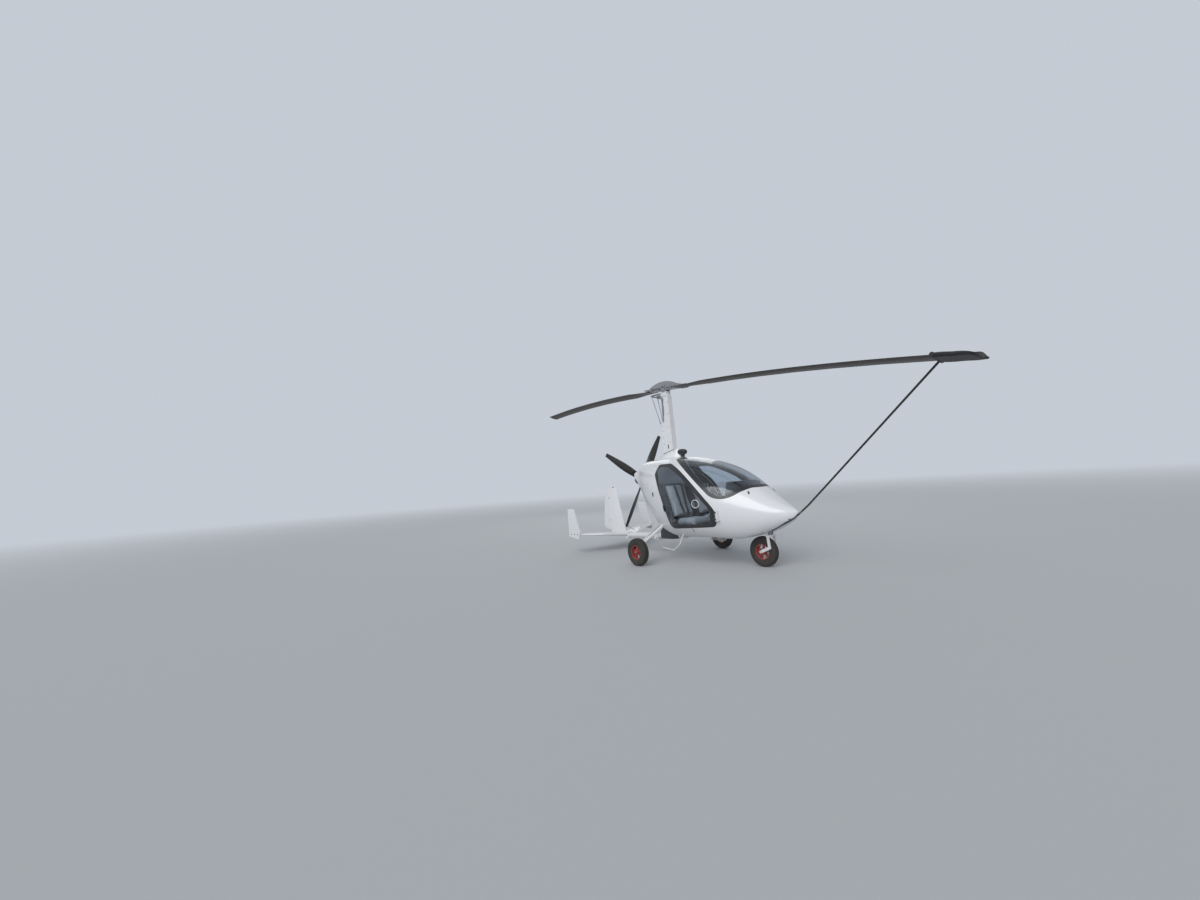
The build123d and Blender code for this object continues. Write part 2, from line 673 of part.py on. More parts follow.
controls = slab(YOKE_FRONT_X - YOKE_BAR, YOKE_FRONT_X, -YOKE_HALF - YOKE_BAR / 2, YOKE_HALF + YOKE_BAR / 2,
                YOKE_Z - YOKE_DEPTH / 2, YOKE_Z + YOKE_DEPTH / 2)
for side in (-1, 1):
    y = side * YOKE_HALF
    controls += slab(YOKE_REAR_X, YOKE_FRONT_X, y - YOKE_BAR / 2, y + YOKE_BAR / 2,
                     YOKE_Z - YOKE_DEPTH / 2, YOKE_Z + YOKE_DEPTH / 2)
    foot_x, foot_y, foot_z = PUSHROD_FOOT
    controls += rod((foot_x, side * foot_y, foot_z), (YOKE_REAR_X + YOKE_BAR, y, YOKE_Z), PUSHROD_RADIUS)
keep("head_controls", controls - head - mast)
shaft_top = YOKE_Z - YOKE_DEPTH / 2 - 2
prerotator = rod((PREROTATOR_X, 0, MAST_SHELF[1]), (PREROTATOR_X, 0, shaft_top), PREROTATOR_RADIUS)
prerotator += slab(PREROTATOR_X - PREROTATOR_RADIUS, YOKE_FRONT_X + PREROTATOR_ARM, -PREROTATOR_RADIUS,
                   PREROTATOR_RADIUS, shaft_top - PREROTATOR_ARM / 2, shaft_top)
keep("prerotator_shaft", prerotator - head - mast)

# Rotor: spindle and tower, hub bar and two blades
cheek_inner = HUB_WIDTH / 2 + TOWER_SIDE_GAP
cheek_outer = cheek_inner + TOWER_CHEEK
tower = rod((0, 0, bore_low + SPINDLE_GAP), (0, 0, HEAD_TOP + TOWER_GAP + SPINDLE_GAP), SPINDLE_RADIUS)
tower_low = HEAD_TOP + TOWER_GAP
tower += slab(-TOWER_FOOT, TOWER_FOOT, -cheek_outer, cheek_outer, tower_low, HUB_BOTTOM - TOWER_FLOOR_GAP)
for side in (-1, 1):
    inner = side * cheek_inner
    outer = side * cheek_outer
    tower += slab(-TOWER_HALF, TOWER_HALF, min(inner, outer), max(inner, outer), tower_low, TOWER_CHEEK_TOP)
pin_reach = cheek_outer + TEETER_PIN_END
tower += cross_pin(0, TEETER_PIN_Z, -pin_reach, pin_reach, TEETER_PIN_RADIUS)
keep("rotor_tower", at_rotor(tower))
with BuildSketch(Plane.XZ) as hub_profile:
    with BuildLine():
        Polyline((-HUB_HALF_LENGTH, HUB_END_TOP), (-HUB_HALF_LENGTH, HUB_BOTTOM),
                 (HUB_HALF_LENGTH, HUB_BOTTOM), (HUB_HALF_LENGTH, HUB_END_TOP))
        ThreePointArc((HUB_HALF_LENGTH, HUB_END_TOP), (0, HUB_TOP), (-HUB_HALF_LENGTH, HUB_END_TOP))
    make_face()
hub_bar = side_prism(hub_profile.sketch.face(), -HUB_WIDTH / 2, HUB_WIDTH / 2)
for end in (-1, 1):
    near = end * (HUB_HALF_LENGTH - 5)
    far = end * (HUB_HALF_LENGTH + HUB_TONGUE)
    hub_bar += slab(min(near, far), max(near, far), -HUB_WIDTH / 2 + 8, HUB_WIDTH / 2 - 8,
                    -HUB_TONGUE_THICKNESS, 0)
hub_bar -= cross_pin(0, TEETER_PIN_Z, -HUB_WIDTH, HUB_WIDTH, TEETER_PIN_RADIUS)
keep("rotor_hub_bar", at_rotor(hub_bar))

BLADE_START = HUB_HALF_LENGTH + 4
BLADE_Z = -HUB_TONGUE_THICKNESS - BLADE_THICKNESS * 0.6


def blade_droop(radius):
    share = max(0, radius - BLADE_STRAIGHT) / (ROTOR_RADIUS - BLADE_STRAIGHT)
    return ROTOR_DROOP * share * share


def blade_section(radius, chord, thick):
    """Blade section at a radius: round nose, flat lower side, straight taper to the trailing edge."""
    plane = Plane(origin=(radius, 0, BLADE_Z - blade_droop(radius)), x_dir=(0, 1, 0), z_dir=(1, 0, 0))
    nose = chord * 0.28
    tail = chord * 0.72
    with BuildSketch(plane) as sketch:
        with BuildLine():
            ThreePointArc((nose, 0), (0, thick * 0.6), (-tail, 0))
            ThreePointArc((-tail, 0), (0, -thick * 0.4), (nose, 0))
        make_face()
    return sketch.sketch.face()


def rotor_blade(radii, chord, thick):
    return loft([blade_section(radius, chord, thick) for radius in radii])


BLADE_RADII = [BLADE_START, BLADE_STRAIGHT, 1500, 2500, 3400, ROTOR_RADIUS]
blade_local = rotor_blade(BLADE_RADII, BLADE_CHORD, BLADE_THICKNESS) - hub_bar
keep("rotor_blade_fore", at_rotor(blade_local))
keep("rotor_blade_aft", at_rotor(Rot(0, 0, 180) * blade_local))

# Padded sock pulled over the tip of the fore blade
sock_start = ROTOR_RADIUS - SOCK_LENGTH
sock_grow = 2 * SOCK_WALL
sock_radii = [sock_start, sock_start + SOCK_LENGTH / 2, ROTOR_RADIUS + SOCK_END]
sock = rotor_blade(sock_radii, BLADE_CHORD + SOCK_EXTRA_CHORD, BLADE_THICKNESS + sock_grow) - blade_local
keep("blade_sock", at_rotor(sock))


# Wheels
def tyre(x, y):
    half = TYRE_WIDTH / 2
    height = TYRE_RADIUS - RIM_RADIUS
    right = [(half * across, RIM_RADIUS + height * up) for across, up in TYRE_PROFILE]
    left = [(-across, up) for across, up in reversed(right) if across > 0]
    with BuildSketch(Plane.YZ) as sketch:
        with BuildLine():
            Polyline(*right, *left, close=True)
        make_face()
    return Pos(x, y, TYRE_RADIUS) * revolve(sketch.sketch.face(), axis=Axis.Y)


def rim(x, y):
    half = RIM_WIDTH / 2
    with BuildSketch(Plane.YZ) as sketch:
        with BuildLine():
            Polyline((-half, RIM_RADIUS), (half, RIM_RADIUS), (half, RIM_RADIUS - RIM_WALL),
                     (RIM_DISC / 2, RIM_RADIUS - RIM_WALL), (RIM_DISC / 2, WHEEL_HUB_RADIUS),
                     (half, WHEEL_HUB_RADIUS), (half, AXLE_RADIUS + WHEEL_RUNNING),
                     (-half, AXLE_RADIUS + WHEEL_RUNNING), (-half, WHEEL_HUB_RADIUS),
                     (-RIM_DISC / 2, WHEEL_HUB_RADIUS), (-RIM_DISC / 2, RIM_RADIUS - RIM_WALL),
                     (-half, RIM_RADIUS - RIM_WALL), (-half, RIM_RADIUS))
        make_face()
    body = revolve(sketch.sketch.face(), axis=Axis.Y)
    for index in range(RIM_HOLES):
        angle = radians(90 + index * 360 / RIM_HOLES)
        hole_x = RIM_HOLE_CIRCLE * cos(angle)
        hole_z = RIM_HOLE_CIRCLE * sin(angle)
        body -= cross_pin(hole_x, hole_z, -half, half, RIM_HOLE_RADIUS)
    return Pos(x, y, TYRE_RADIUS) * body


# Main gear: spring leg, knuckle, stub axle, wheel and brake
for name, side in SIDES:
    y = side * WHEEL_TRACK / 2
    keep(f"main_tyre_{name}", tyre(MAIN_WHEEL_X, y))
    keep(f"main_rim_{name}", rim(MAIN_WHEEL_X, y))
track_half = WHEEL_TRACK / 2
knuckle_outer = track_half - TYRE_WIDTH / 2 - WHEEL_SIDE_GAP
knuckle_inner = knuckle_outer - KNUCKLE_THICKNESS
knuckle_half = KNUCKLE_LENGTH / 2
knuckle = slab(MAIN_WHEEL_X - knuckle_half, MAIN_WHEEL_X + knuckle_half, -knuckle_outer, -knuckle_inner,
               TYRE_RADIUS - KNUCKLE_BELOW, LEG_OUTER_Z + KNUCKLE_ABOVE)
leg = leg_blade(0) + knuckle
shoulder_y = track_half - RIM_WIDTH / 2 - AXLE_SIDE_GAP
axle_end_y = track_half + RIM_WIDTH / 2 + AXLE_END
leg += cross_pin(MAIN_WHEEL_X, TYRE_RADIUS, -knuckle_outer, -shoulder_y, AXLE_RADIUS + AXLE_SHOULDER)
leg += cross_pin(MAIN_WHEEL_X, TYRE_RADIUS, -knuckle_inner, -axle_end_y, AXLE_RADIUS)
for name, side in SIDES:
    keep(f"main_leg_{name}", to_side(leg, side))

# Nose gear: housing in the belly, swivelling fork, wheel
keep("nose_tyre", tyre(NOSE_WHEEL_X, 0))
keep("nose_rim", rim(NOSE_WHEEL_X, 0))
housing = rod((STEER_X, 0, FORK_CROWN_TOP + 3), (STEER_X, 0, HOUSING_TOP), HOUSING_RADIUS)
housing -= rod((STEER_X, 0, 0), (STEER_X, 0, FULL_Z), STEM_RADIUS + BEARING_RUNNING)
keep("steering_housing", housing)
fork_inner = TYRE_WIDTH / 2 + FORK_TYRE_GAP
fork_outer = fork_inner + FORK_THICKNESS
crown_low = FORK_CROWN_TOP - FORK_CROWN_HEIGHT
fork = slab(STEER_X - FORK_CROWN_HALF, STEER_X + FORK_CROWN_HALF, -fork_outer, fork_outer, crown_low,
            FORK_CROWN_TOP)
fork += rod((STEER_X, 0, FORK_CROWN_TOP - 2), (STEER_X, 0, HOUSING_TOP + 10), STEM_RADIUS)
for side in (-1, 1):
    y0 = side * fork_inner
    y1 = side * fork_outer
    fork += bar_xz((STEER_X, FORK_CROWN_TOP - FORK_BAR_RADIUS), FORK_ELBOW, FORK_BAR_RADIUS, y0, y1)
    fork += bar_xz(FORK_ELBOW, (NOSE_WHEEL_X, TYRE_RADIUS), FORK_BAR_RADIUS + 2, y0, y1)
    shoulder_start = side * (RIM_WIDTH / 2 + AXLE_SIDE_GAP)
    fork += cross_pin(NOSE_WHEEL_X, TYRE_RADIUS, shoulder_start, y0, AXLE_RADIUS + AXLE_SHOULDER)
axle_reach = fork_outer + FORK_AXLE_END
fork += cross_pin(NOSE_WHEEL_X, TYRE_RADIUS, -axle_reach, axle_reach, AXLE_RADIUS)
keep("nose_fork", fork)


# Keel tube, collar and gusset
def keel_z(x):
    share = (x - KEEL_REAR[0]) / (KEEL_FRONT[0] - KEEL_REAR[0])
    return KEEL_REAR[1] + share * (KEEL_FRONT[1] - KEEL_REAR[1])


keel_rear_x = STAB_ROOT_LE_X - KEEL_TAIL_OVERLAP
keel = rod((keel_rear_x, 0, keel_z(keel_rear_x)), (KEEL_FRONT[0], 0, KEEL_FRONT[1]), KEEL_RADIUS)
collar_half = KEEL_RADIUS + COLLAR_MARGIN
collar_z = keel_z(keel_rear_x + COLLAR_LENGTH / 2)
collar_block = slab(keel_rear_x, keel_rear_x + COLLAR_LENGTH, -collar_half, collar_half,
                    collar_z - collar_half, collar_z + collar_half)
gusset_rear_z = keel_z(GUSSET_REAR_X)
gusset_front_z = keel_z(GUSSET_FRONT_X)
gusset_face = polygon_xz([(GUSSET_REAR_X, gusset_rear_z - GUSSET_TIP),
                          (GUSSET_REAR_X, gusset_rear_z + GUSSET_TIP),
                          (GUSSET_FRONT_X, gusset_front_z + GUSSET_RISE),
                          (GUSSET_FRONT_X, gusset_front_z - GUSSET_DROP)])
gusset = side_prism(gusset_face, KEEL_RADIUS, KEEL_RADIUS + GUSSET_THICKNESS)
gusset += side_prism(gusset_face, -KEEL_RADIUS - GUSSET_THICKNESS, -KEEL_RADIUS)
gusset += slab(GUSSET_FRONT_X - GUSSET_THICKNESS, GUSSET_FRONT_X, -KEEL_RADIUS - 2, KEEL_RADIUS + 2,
               gusset_front_z - GUSSET_DROP + GUSSET_LIP, gusset_front_z + GUSSET_RISE - GUSSET_LIP)
saddle = slab(KEEL_FRONT[0] - SADDLE_LENGTH, KEEL_FRONT[0], -SADDLE_HALF_WIDTH, SADDLE_HALF_WIDTH,
              keel_z(KEEL_FRONT[0] - SADDLE_LENGTH / 2), SADDLE_TOP)
keel_fittings = Compound(children=[collar_block - keel, gusset - keel, saddle - pod_outer - keel])
keep("keel_fittings", keel_fittings)
keep("keel_tube", keel - pod_outer)


# Tail surfaces
def lens_section(x_front, x_rear, y, z, thick):
    """An upright lens in a plane along X, for a surface that runs out to the side."""
    with BuildSketch(Plane(origin=(0, y, 0), x_dir=(1, 0, 0), z_dir=(0, -1, 0))) as sketch:
        middle = x_front + (x_rear - x_front) * 0.35
        with BuildLine():
            ThreePointArc((x_front, z), (middle, z + thick / 2), (x_rear, z))
            ThreePointArc((x_rear, z), (middle, z - thick / 2), (x_front, z))
        make_face()
    return sketch.sketch.face()


stab_reach = STAB_HALF_SPAN - TIP_FIN_THICKNESS / 2
stab_root = lens_section(STAB_ROOT_LE_X, STAB_ROOT_TE_X, 0, STAB_ROOT_Z, STAB_ROOT_THICKNESS)
stab_tip = lens_section(STAB_TIP_LE_X, STAB_TIP_TE_X, -stab_reach, STAB_TIP_Z, STAB_TIP_THICKNESS)
half_stab = loft([stab_root, stab_tip], ruled=True)
stabiliser = half_stab + mirror(half_stab, about=Plane.XZ)
keep("stabiliser", stabiliser - collar_block - keel)
for name, side in SIDES:
    y0 = side * stab_reach
    y1 = side * (stab_reach + TIP_FIN_THICKNESS)
    fin = side_prism(polygon_xz(TIP_FIN_OUTLINE), min(y0, y1), max(y0, y1))
    keep(f"tip_fin_{name}", fin)


def fin_section(z, x_front, x_rear):
    """Half of the fin's section at a height, from its nose to the flat face at the hinge."""
    half = FIN_THICKNESS / 2
    with BuildSketch(Plane.XY.offset(z)) as sketch:
        middle = (x_front + x_rear) / 2
        with BuildLine():
            ThreePointArc((x_front, 0), (middle, half * 0.86), (x_rear, half))
            Line((x_rear, half), (x_rear, -half))
            ThreePointArc((x_rear, -half), (middle, -half * 0.86), (x_front, 0))
        make_face()
    return sketch.sketch.face()


fin_low = STAB_ROOT_Z
fin_slope = (FIN_TOP_X - FIN_FOOT_X) / (FIN_TOP_Z - (STAB_ROOT_Z + STAB_ROOT_THICKNESS / 2))
fin_low_x = FIN_FOOT_X + fin_slope * (fin_low - STAB_ROOT_Z - STAB_ROOT_THICKNESS / 2)
fin_root = fin_section(fin_low, fin_low_x, FIN_HINGE_X)
tail_fin = loft([fin_root, fin_section(FIN_TOP_Z, FIN_TOP_X, FIN_HINGE_X)], ruled=True)
top_cut = polygon_xz([(FIN_TOP_X, FIN_TOP_Z), (FIN_TOP_X + 200, FIN_TOP_Z + 200), (-2200, FIN_TOP_Z + 200),
                      (RUDDER_TE_TOP_X, FIN_TOP_Z - FIN_TOP_SLOPE)])
cut_prism = side_prism(top_cut, -100, 100)
keep("tail_fin", tail_fin - cut_prism - stabiliser)
rudder_front = FIN_HINGE_X - RUDDER_GAP
rudder_axis_x = rudder_front - RUDDER_NOSE_RADIUS
rudder_top = FIN_TOP_Z
with BuildSketch(Plane.XY.offset(RUDDER_FOOT_Z)) as rudder_plan:
    edge = RUDDER_TE_THICKNESS / 2
    reach = RUDDER_TE_LOW[0]
    nose = RUDDER_NOSE_RADIUS
    with BuildLine():
        ThreePointArc((rudder_axis_x, -nose), (rudder_front, 0), (rudder_axis_x, nose))
        Polyline((rudder_axis_x, nose), (reach, edge), (reach, -edge), (rudder_axis_x, -nose))
    make_face()
rudder = extrude(rudder_plan.sketch.face(), amount=rudder_top - RUDDER_FOOT_Z, dir=(0, 0, 1))
rudder &= side_prism(polygon_xz([(rudder_front + 10, RUDDER_FOOT_Z), (rudder_front + 10, rudder_top),
                                 (RUDDER_TE_TOP_X, rudder_top), (RUDDER_TE_TOP_X, FIN_TOP_Z - FIN_TOP_SLOPE),
                                 RUDDER_TE_LOW, (RUDDER_TE_LOW[0] + 130, RUDDER_FOOT_Z)]), -100, 100)
rudder_hinges = None
for height in RUDDER_HINGE_HEIGHTS:
    half_plate = RUDDER_HINGE_PLATE / 2
    plate = slab(rudder_axis_x, FIN_HINGE_X, -RUDDER_PIN_RADIUS * 2, RUDDER_PIN_RADIUS * 2,
                 height - half_plate, height + half_plate)
    plate += upright(rudder_axis_x, height, half_plate, RUDDER_PIN_RADIUS * 2)
    plate += upright(rudder_axis_x, height, RUDDER_PIN_LENGTH / 2, RUDDER_PIN_RADIUS)
    slot_half = half_plate + RUDDER_HINGE_GAP
    slot_rear_x = rudder_axis_x - RUDDER_PIN_RADIUS * 2 - RUDDER_GAP
    rudder -= slab(slot_rear_x, rudder_front + 1, -RUDDER_NOSE_RADIUS - 1, RUDDER_NOSE_RADIUS + 1,
                   height - slot_half, height + slot_half)
    rudder -= upright(rudder_axis_x, height, RUDDER_PIN_LENGTH / 2 + 1, RUDDER_PIN_RADIUS + HINGE_RUNNING)
    rudder_hinges = plate if rudder_hinges is None else rudder_hinges + plate
keep("rudder_hinges", rudder_hinges)
keep("rudder", rudder - cut_prism)

# Cabin: floor, seats, panel and controls
floor = pod_lining & slab(FLOOR_REAR_X, FLOOR_FRONT_X, -FULL_Y, FULL_Y, FLOOR_Z, FLOOR_Z + FLOOR_THICKNESS)
keep("cabin_floor", floor)
floor_top = FLOOR_Z + FLOOR_THICKNESS
seat_bases = []
for name, side in SIDES:
    y0 = side * SEAT_OFFSET_Y - SEAT_HALF_WIDTH
    y1 = side * SEAT_OFFSET_Y + SEAT_HALF_WIDTH
    base = slab(SEAT_BACK_FOOT_X - SEAT_BASE_REACH, SEAT_FRONT_X - SEAT_BASE_INSET, y0 + SEAT_BASE_INSET,
                y1 - SEAT_BASE_INSET, floor_top, SEAT_BASE_TOP)
    seat_bases.append(base & pod_lining)
    pad_low = SEAT_BASE_TOP + SEAT_CLEARANCE
    back_x, back_z = SEAT_BACK_TOP
    seat_face = polygon_xz([(SEAT_FRONT_X, pad_low), (SEAT_FRONT_X, pad_low + SEAT_PAD),
                            (SEAT_BACK_FOOT_X + SEAT_BACK_THICKNESS, pad_low + SEAT_PAD),
                            (back_x + SEAT_BACK_THICKNESS, back_z), (back_x, back_z),
                            (SEAT_BACK_FOOT_X - 20, pad_low)])
    seat = side_prism(seat_face, y0, y1)
    seat = fillet(seat.edges().filter_by(Axis.Y), SEAT_CORNER)
    keep(f"seat_{name}", seat & pod_lining)
keep("seat_bases", Compound(children=seat_bases))

panel_rear_x = PANEL_FRONT_X - PANEL_DEPTH
panel_face = polygon_xz([(panel_rear_x, PANEL_BOTTOM + PANEL_SLOPE), (PANEL_FRONT_X, PANEL_BOTTOM),
                         (PANEL_FRONT_X, PANEL_TOP), (panel_rear_x + PANEL_DEPTH / 2, PANEL_TOP)])
panel = side_prism(panel_face, -PANEL_HALF_WIDTH, PANEL_HALF_WIDTH)
console_face = polygon_xz([(CONSOLE_REAR_X, floor_top), (CONSOLE_REAR_X, CONSOLE_TOP),
                           (panel_rear_x, PANEL_BOTTOM + PANEL_SLOPE + 5), (PANEL_FRONT_X, PANEL_BOTTOM + 10),
                           (PANEL_FRONT_X, floor_top)])
panel += side_prism(console_face, -CONSOLE_HALF_WIDTH, CONSOLE_HALF_WIDTH)
keep("instrument_panel", panel & pod_lining)
sticks = []
for name, side in SIDES:
    y = side * SEAT_OFFSET_Y
    stick = rod((STICK_X, y, floor_top), (STICK_X, y, STICK_TOP), STICK_RADIUS)
    stick += rod((STICK_X, y, STICK_TOP - 20), (STICK_X, y, STICK_TOP + GRIP_LENGTH), GRIP_RADIUS)
    stick += rod((STICK_X, y, floor_top), (STICK_X, y, floor_top + STICK_BOOT_HEIGHT), STICK_BOOT_RADIUS)
    sticks.append(stick)
keep("control_sticks", Compound(children=sticks))
pedal_reach = SEAT_OFFSET_Y + PEDAL_OFFSET + PEDAL_HALF_WIDTH
pedals = slab(PEDAL_X - 8, PEDAL_X + 8, -pedal_reach, pedal_reach, floor_top, floor_top + 16)
for side in (-1, 1):
    for foot in (-1, 1):
        y = side * SEAT_OFFSET_Y + foot * PEDAL_OFFSET
        pedals += slab(PEDAL_X - 5, PEDAL_X + 5, y - PEDAL_HALF_WIDTH, y + PEDAL_HALF_WIDTH, floor_top + 10,
                       PEDAL_TOP)
keep("rudder_pedals", pedals & pod_lining)

# Roof cap ahead of the mast, and the boarding steps under the sills
cap_rings = []
for up, share in CAP_PROFILE:
    oval = Ellipse(CAP_LENGTH / 2 * share, CAP_WIDTH / 2 * share)
    cap_rings.append((Plane.XY.offset(CAP_LOW_Z + CAP_HEIGHT * up) * oval).face())
cap = Pos(CAP_X, 0, 0) * loft(cap_rings, ruled=True)
keep("roof_cap", cap - pod_outer - fairing)
step = None
for start, end in zip(STEP_PATH, STEP_PATH[1:]):
    piece = rod(start, end, STEP_TUBE_RADIUS) + Pos(*end) * Sphere(STEP_TUBE_RADIUS)
    step = piece if step is None else step + piece
port_step = step - pod_outer
keep("boarding_steps", Compound(children=[mirror(port_step, about=Plane.XZ), port_step]))

print("door hinge axis at y", round(HINGE_AXIS_Y, 3))
for name, shape in NODES.items():
    export_step(shape, f"parts/{name}.step")
    print(name, len(shape.solids()), round(shape.volume / 1e6, 3))
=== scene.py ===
# %% [markdown]
# A parked two-seat gyrocopter: a white composite pod with a big clear windscreen, a two-blade rotor on a
# faired mast, a pusher propeller and a tail with three fins. The construction comes packed as a frame of
# fixed solids. This lesson keeps those solids where they are, gives each one a finish, and adds what a
# workshop would add last: tyres with tread, padded seats, the sock on the rotor tip, bolts, fasteners and
# hoses.

# %% Load the frame
import bmesh
import bpy
import json
import math
from mathutils import Matrix, Vector

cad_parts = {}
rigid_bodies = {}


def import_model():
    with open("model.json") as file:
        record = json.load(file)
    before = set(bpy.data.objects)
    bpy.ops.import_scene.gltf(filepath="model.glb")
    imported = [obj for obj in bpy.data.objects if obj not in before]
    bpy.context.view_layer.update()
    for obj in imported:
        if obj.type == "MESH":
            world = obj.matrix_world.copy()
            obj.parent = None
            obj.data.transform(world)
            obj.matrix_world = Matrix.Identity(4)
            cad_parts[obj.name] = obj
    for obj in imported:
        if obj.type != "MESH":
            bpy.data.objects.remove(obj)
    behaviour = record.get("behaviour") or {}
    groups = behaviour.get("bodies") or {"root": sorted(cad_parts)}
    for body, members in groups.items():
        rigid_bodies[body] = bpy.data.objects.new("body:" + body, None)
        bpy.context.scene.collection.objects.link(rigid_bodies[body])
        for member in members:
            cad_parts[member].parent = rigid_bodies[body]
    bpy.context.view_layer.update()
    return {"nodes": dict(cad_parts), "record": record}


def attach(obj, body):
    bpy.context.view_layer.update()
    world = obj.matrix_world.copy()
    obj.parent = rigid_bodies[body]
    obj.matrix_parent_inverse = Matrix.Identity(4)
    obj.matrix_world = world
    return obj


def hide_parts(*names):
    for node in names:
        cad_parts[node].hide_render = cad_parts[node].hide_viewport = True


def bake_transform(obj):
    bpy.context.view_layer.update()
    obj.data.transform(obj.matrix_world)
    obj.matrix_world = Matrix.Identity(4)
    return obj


for leftover in list(bpy.data.objects):
    bpy.data.objects.remove(leftover)
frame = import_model()
nodes = frame["nodes"]
print("solids in the frame:", len(nodes))

# %% [markdown]
# The photographer stood low and close, with a very wide lens, ahead of the starboard door. The camera is set
# by its place, its three turns and its focal length, so that every later piece is judged in that view.

# %% Camera
CAMERA_PLACE = Vector((5.358, -5.170, 1.229))
CAMERA_YAW = 2.525
CAMERA_PITCH = 0.072
CAMERA_ROLL = -0.069
IMAGE_WIDTH = 1200
FOCAL_PIXELS = 457.0
SENSOR_WIDTH = 36.0


def camera_axes(yaw, pitch, roll):
    """Right, up and forward of a camera that looks along a yaw and a pitch, then rolls."""
    forward = Vector((math.cos(yaw) * math.cos(pitch), math.sin(yaw) * math.cos(pitch), math.sin(pitch)))
    level = Vector((math.sin(yaw), -math.cos(yaw), 0.0))
    upright = level.cross(forward)
    right = level * math.cos(roll) + upright * math.sin(roll)
    up = upright * math.cos(roll) - level * math.sin(roll)
    return right, up, forward


def new_object(name, data):
    """An object of the given data, in the scene."""
    thing = bpy.data.objects.new(name, data)
    bpy.context.scene.collection.objects.link(thing)
    return thing


right, up, forward = camera_axes(CAMERA_YAW, CAMERA_PITCH, CAMERA_ROLL)
camera_data = bpy.data.cameras.new("camera")
camera_data.sensor_width = SENSOR_WIDTH
camera_data.lens = FOCAL_PIXELS / IMAGE_WIDTH * SENSOR_WIDTH
camera_data.clip_end = 200.0
camera = new_object("camera", camera_data)
turn = Matrix((right, up, -forward)).transposed().to_4x4()
camera.matrix_world = Matrix.Translation(CAMERA_PLACE) @ turn
bpy.context.scene.camera = camera
print("lens", round(camera_data.lens, 2), "mm")

# %% [markdown]
# White paint only reads as white if the light has a direction. A broad soft sun stands on the camera's side
# and lights floor and machine evenly, and a large weak lamp behind lifts the edges. The world fills the rest
# gently, and shows itself pale only where the camera or glass looks at it.

# %% Lamps and world
SUN_PLACE = (5.0, -9.0, 8.0)
SUN_POWER = 1.75
SUN_ANGLE = math.radians(50)
BACK_LAMP_PLACE = (-8.0, 7.0, 6.0)
BACK_LAMP_POWER = 90.0
BACK_LAMP_SIDE = 6.0
FILL_COLOUR = (0.88, 0.93, 1.0, 1.0)
FILL_STRENGTH = 0.46
BACKDROP = (0.56, 0.60, 0.66, 1.0)


def add_lamp(name, kind, place, aim, power, spread):
    """A lamp that looks at a point; the spread is a sun's angle or a panel's side."""
    data = bpy.data.lights.new(name, kind)
    data.energy = power
    if kind == "SUN":
        data.angle = spread
    else:
        data.size = spread
    lamp = new_object(name, data)
    lamp.location = place
    lamp.rotation_euler = (Vector(aim) - Vector(place)).to_track_quat("-Z", "Y").to_euler()


def add_node(tree, kind, **settings):
    """A shader node, by its kind's name after ShaderNode, with its settings."""
    node = tree.nodes.new("ShaderNode" + kind)
    for setting, value in settings.items():
        setattr(node, setting, value)
    return node


def wire(tree, *joins):
    """Join sockets of a node tree; each join is (node, output, node, input)."""
    for source, output, target, entry in joins:
        tree.links.new(source.outputs[output], target.inputs[entry])


add_lamp("key_sun", "SUN", SUN_PLACE, (0.0, 0.0, 0.8), SUN_POWER, SUN_ANGLE)
add_lamp("back_panel", "AREA", BACK_LAMP_PLACE, (0.0, 0.0, 1.0), BACK_LAMP_POWER, BACK_LAMP_SIDE)
world = bpy.data.worlds.new("studio")
bpy.context.scene.world = world
world.use_nodes = True
sky = world.node_tree
soft_fill = sky.nodes["Background"]
soft_fill.inputs["Color"].default_value = FILL_COLOUR
soft_fill.inputs["Strength"].default_value = FILL_STRENGTH
seen = add_node(sky, "Background")
seen.inputs["Color"].default_value = BACKDROP
seen.inputs["Strength"].default_value = 1.0
light_path = add_node(sky, "LightPath")
any_seen = add_node(sky, "Math", operation="MAXIMUM")
pick = add_node(sky, "MixShader")
wire(sky, (light_path, "Is Camera Ray", any_seen, 0), (light_path, "Is Transmission Ray", any_seen, 1),
     (any_seen, 0, pick, 0), (soft_fill, 0, pick, 1), (seen, 0, pick, 2),
     (pick, 0, sky.nodes["World Output"], "Surface"))
bpy.context.scene.view_settings.view_transform = "Standard"

# %% [markdown]
# The floor takes the shadow near the object. Far out it turns into the backdrop's own colour, so that no
# dark line stands behind the white pod.

# %% Floor
FLOOR_SIZE = 160.0
FLOOR_COLOUR = (0.50, 0.515, 0.53, 1.0)
FLOOR_NEAR = 8.0
FLOOR_FAR = 45.0
bpy.ops.object.select_all(action="DESELECT")
bpy.ops.mesh.primitive_plane_add(size=FLOOR_SIZE, location=(0, 0, 0))
floor = bpy.context.object
floor.name = "studio_floor"
floor_paint = bpy.data.materials.new("pale_floor")
floor_paint.use_nodes = True
paint = floor_paint.node_tree
matt = paint.nodes["Principled BSDF"]
matt.inputs["Base Color"].default_value = FLOOR_COLOUR
matt.inputs["Roughness"].default_value = 0.9
ground = add_node(paint, "TexCoord")
reach = add_node(paint, "VectorMath", operation="LENGTH")
fade = add_node(paint, "MapRange", interpolation_type="SMOOTHSTEP")
fade.inputs["From Min"].default_value = FLOOR_NEAR
fade.inputs["From Max"].default_value = FLOOR_FAR
glow = add_node(paint, "Emission")
glow.inputs["Color"].default_value = BACKDROP
looked_at = add_node(paint, "LightPath")
only_seen = add_node(paint, "Math", operation="MULTIPLY")
floor_mix = add_node(paint, "MixShader")
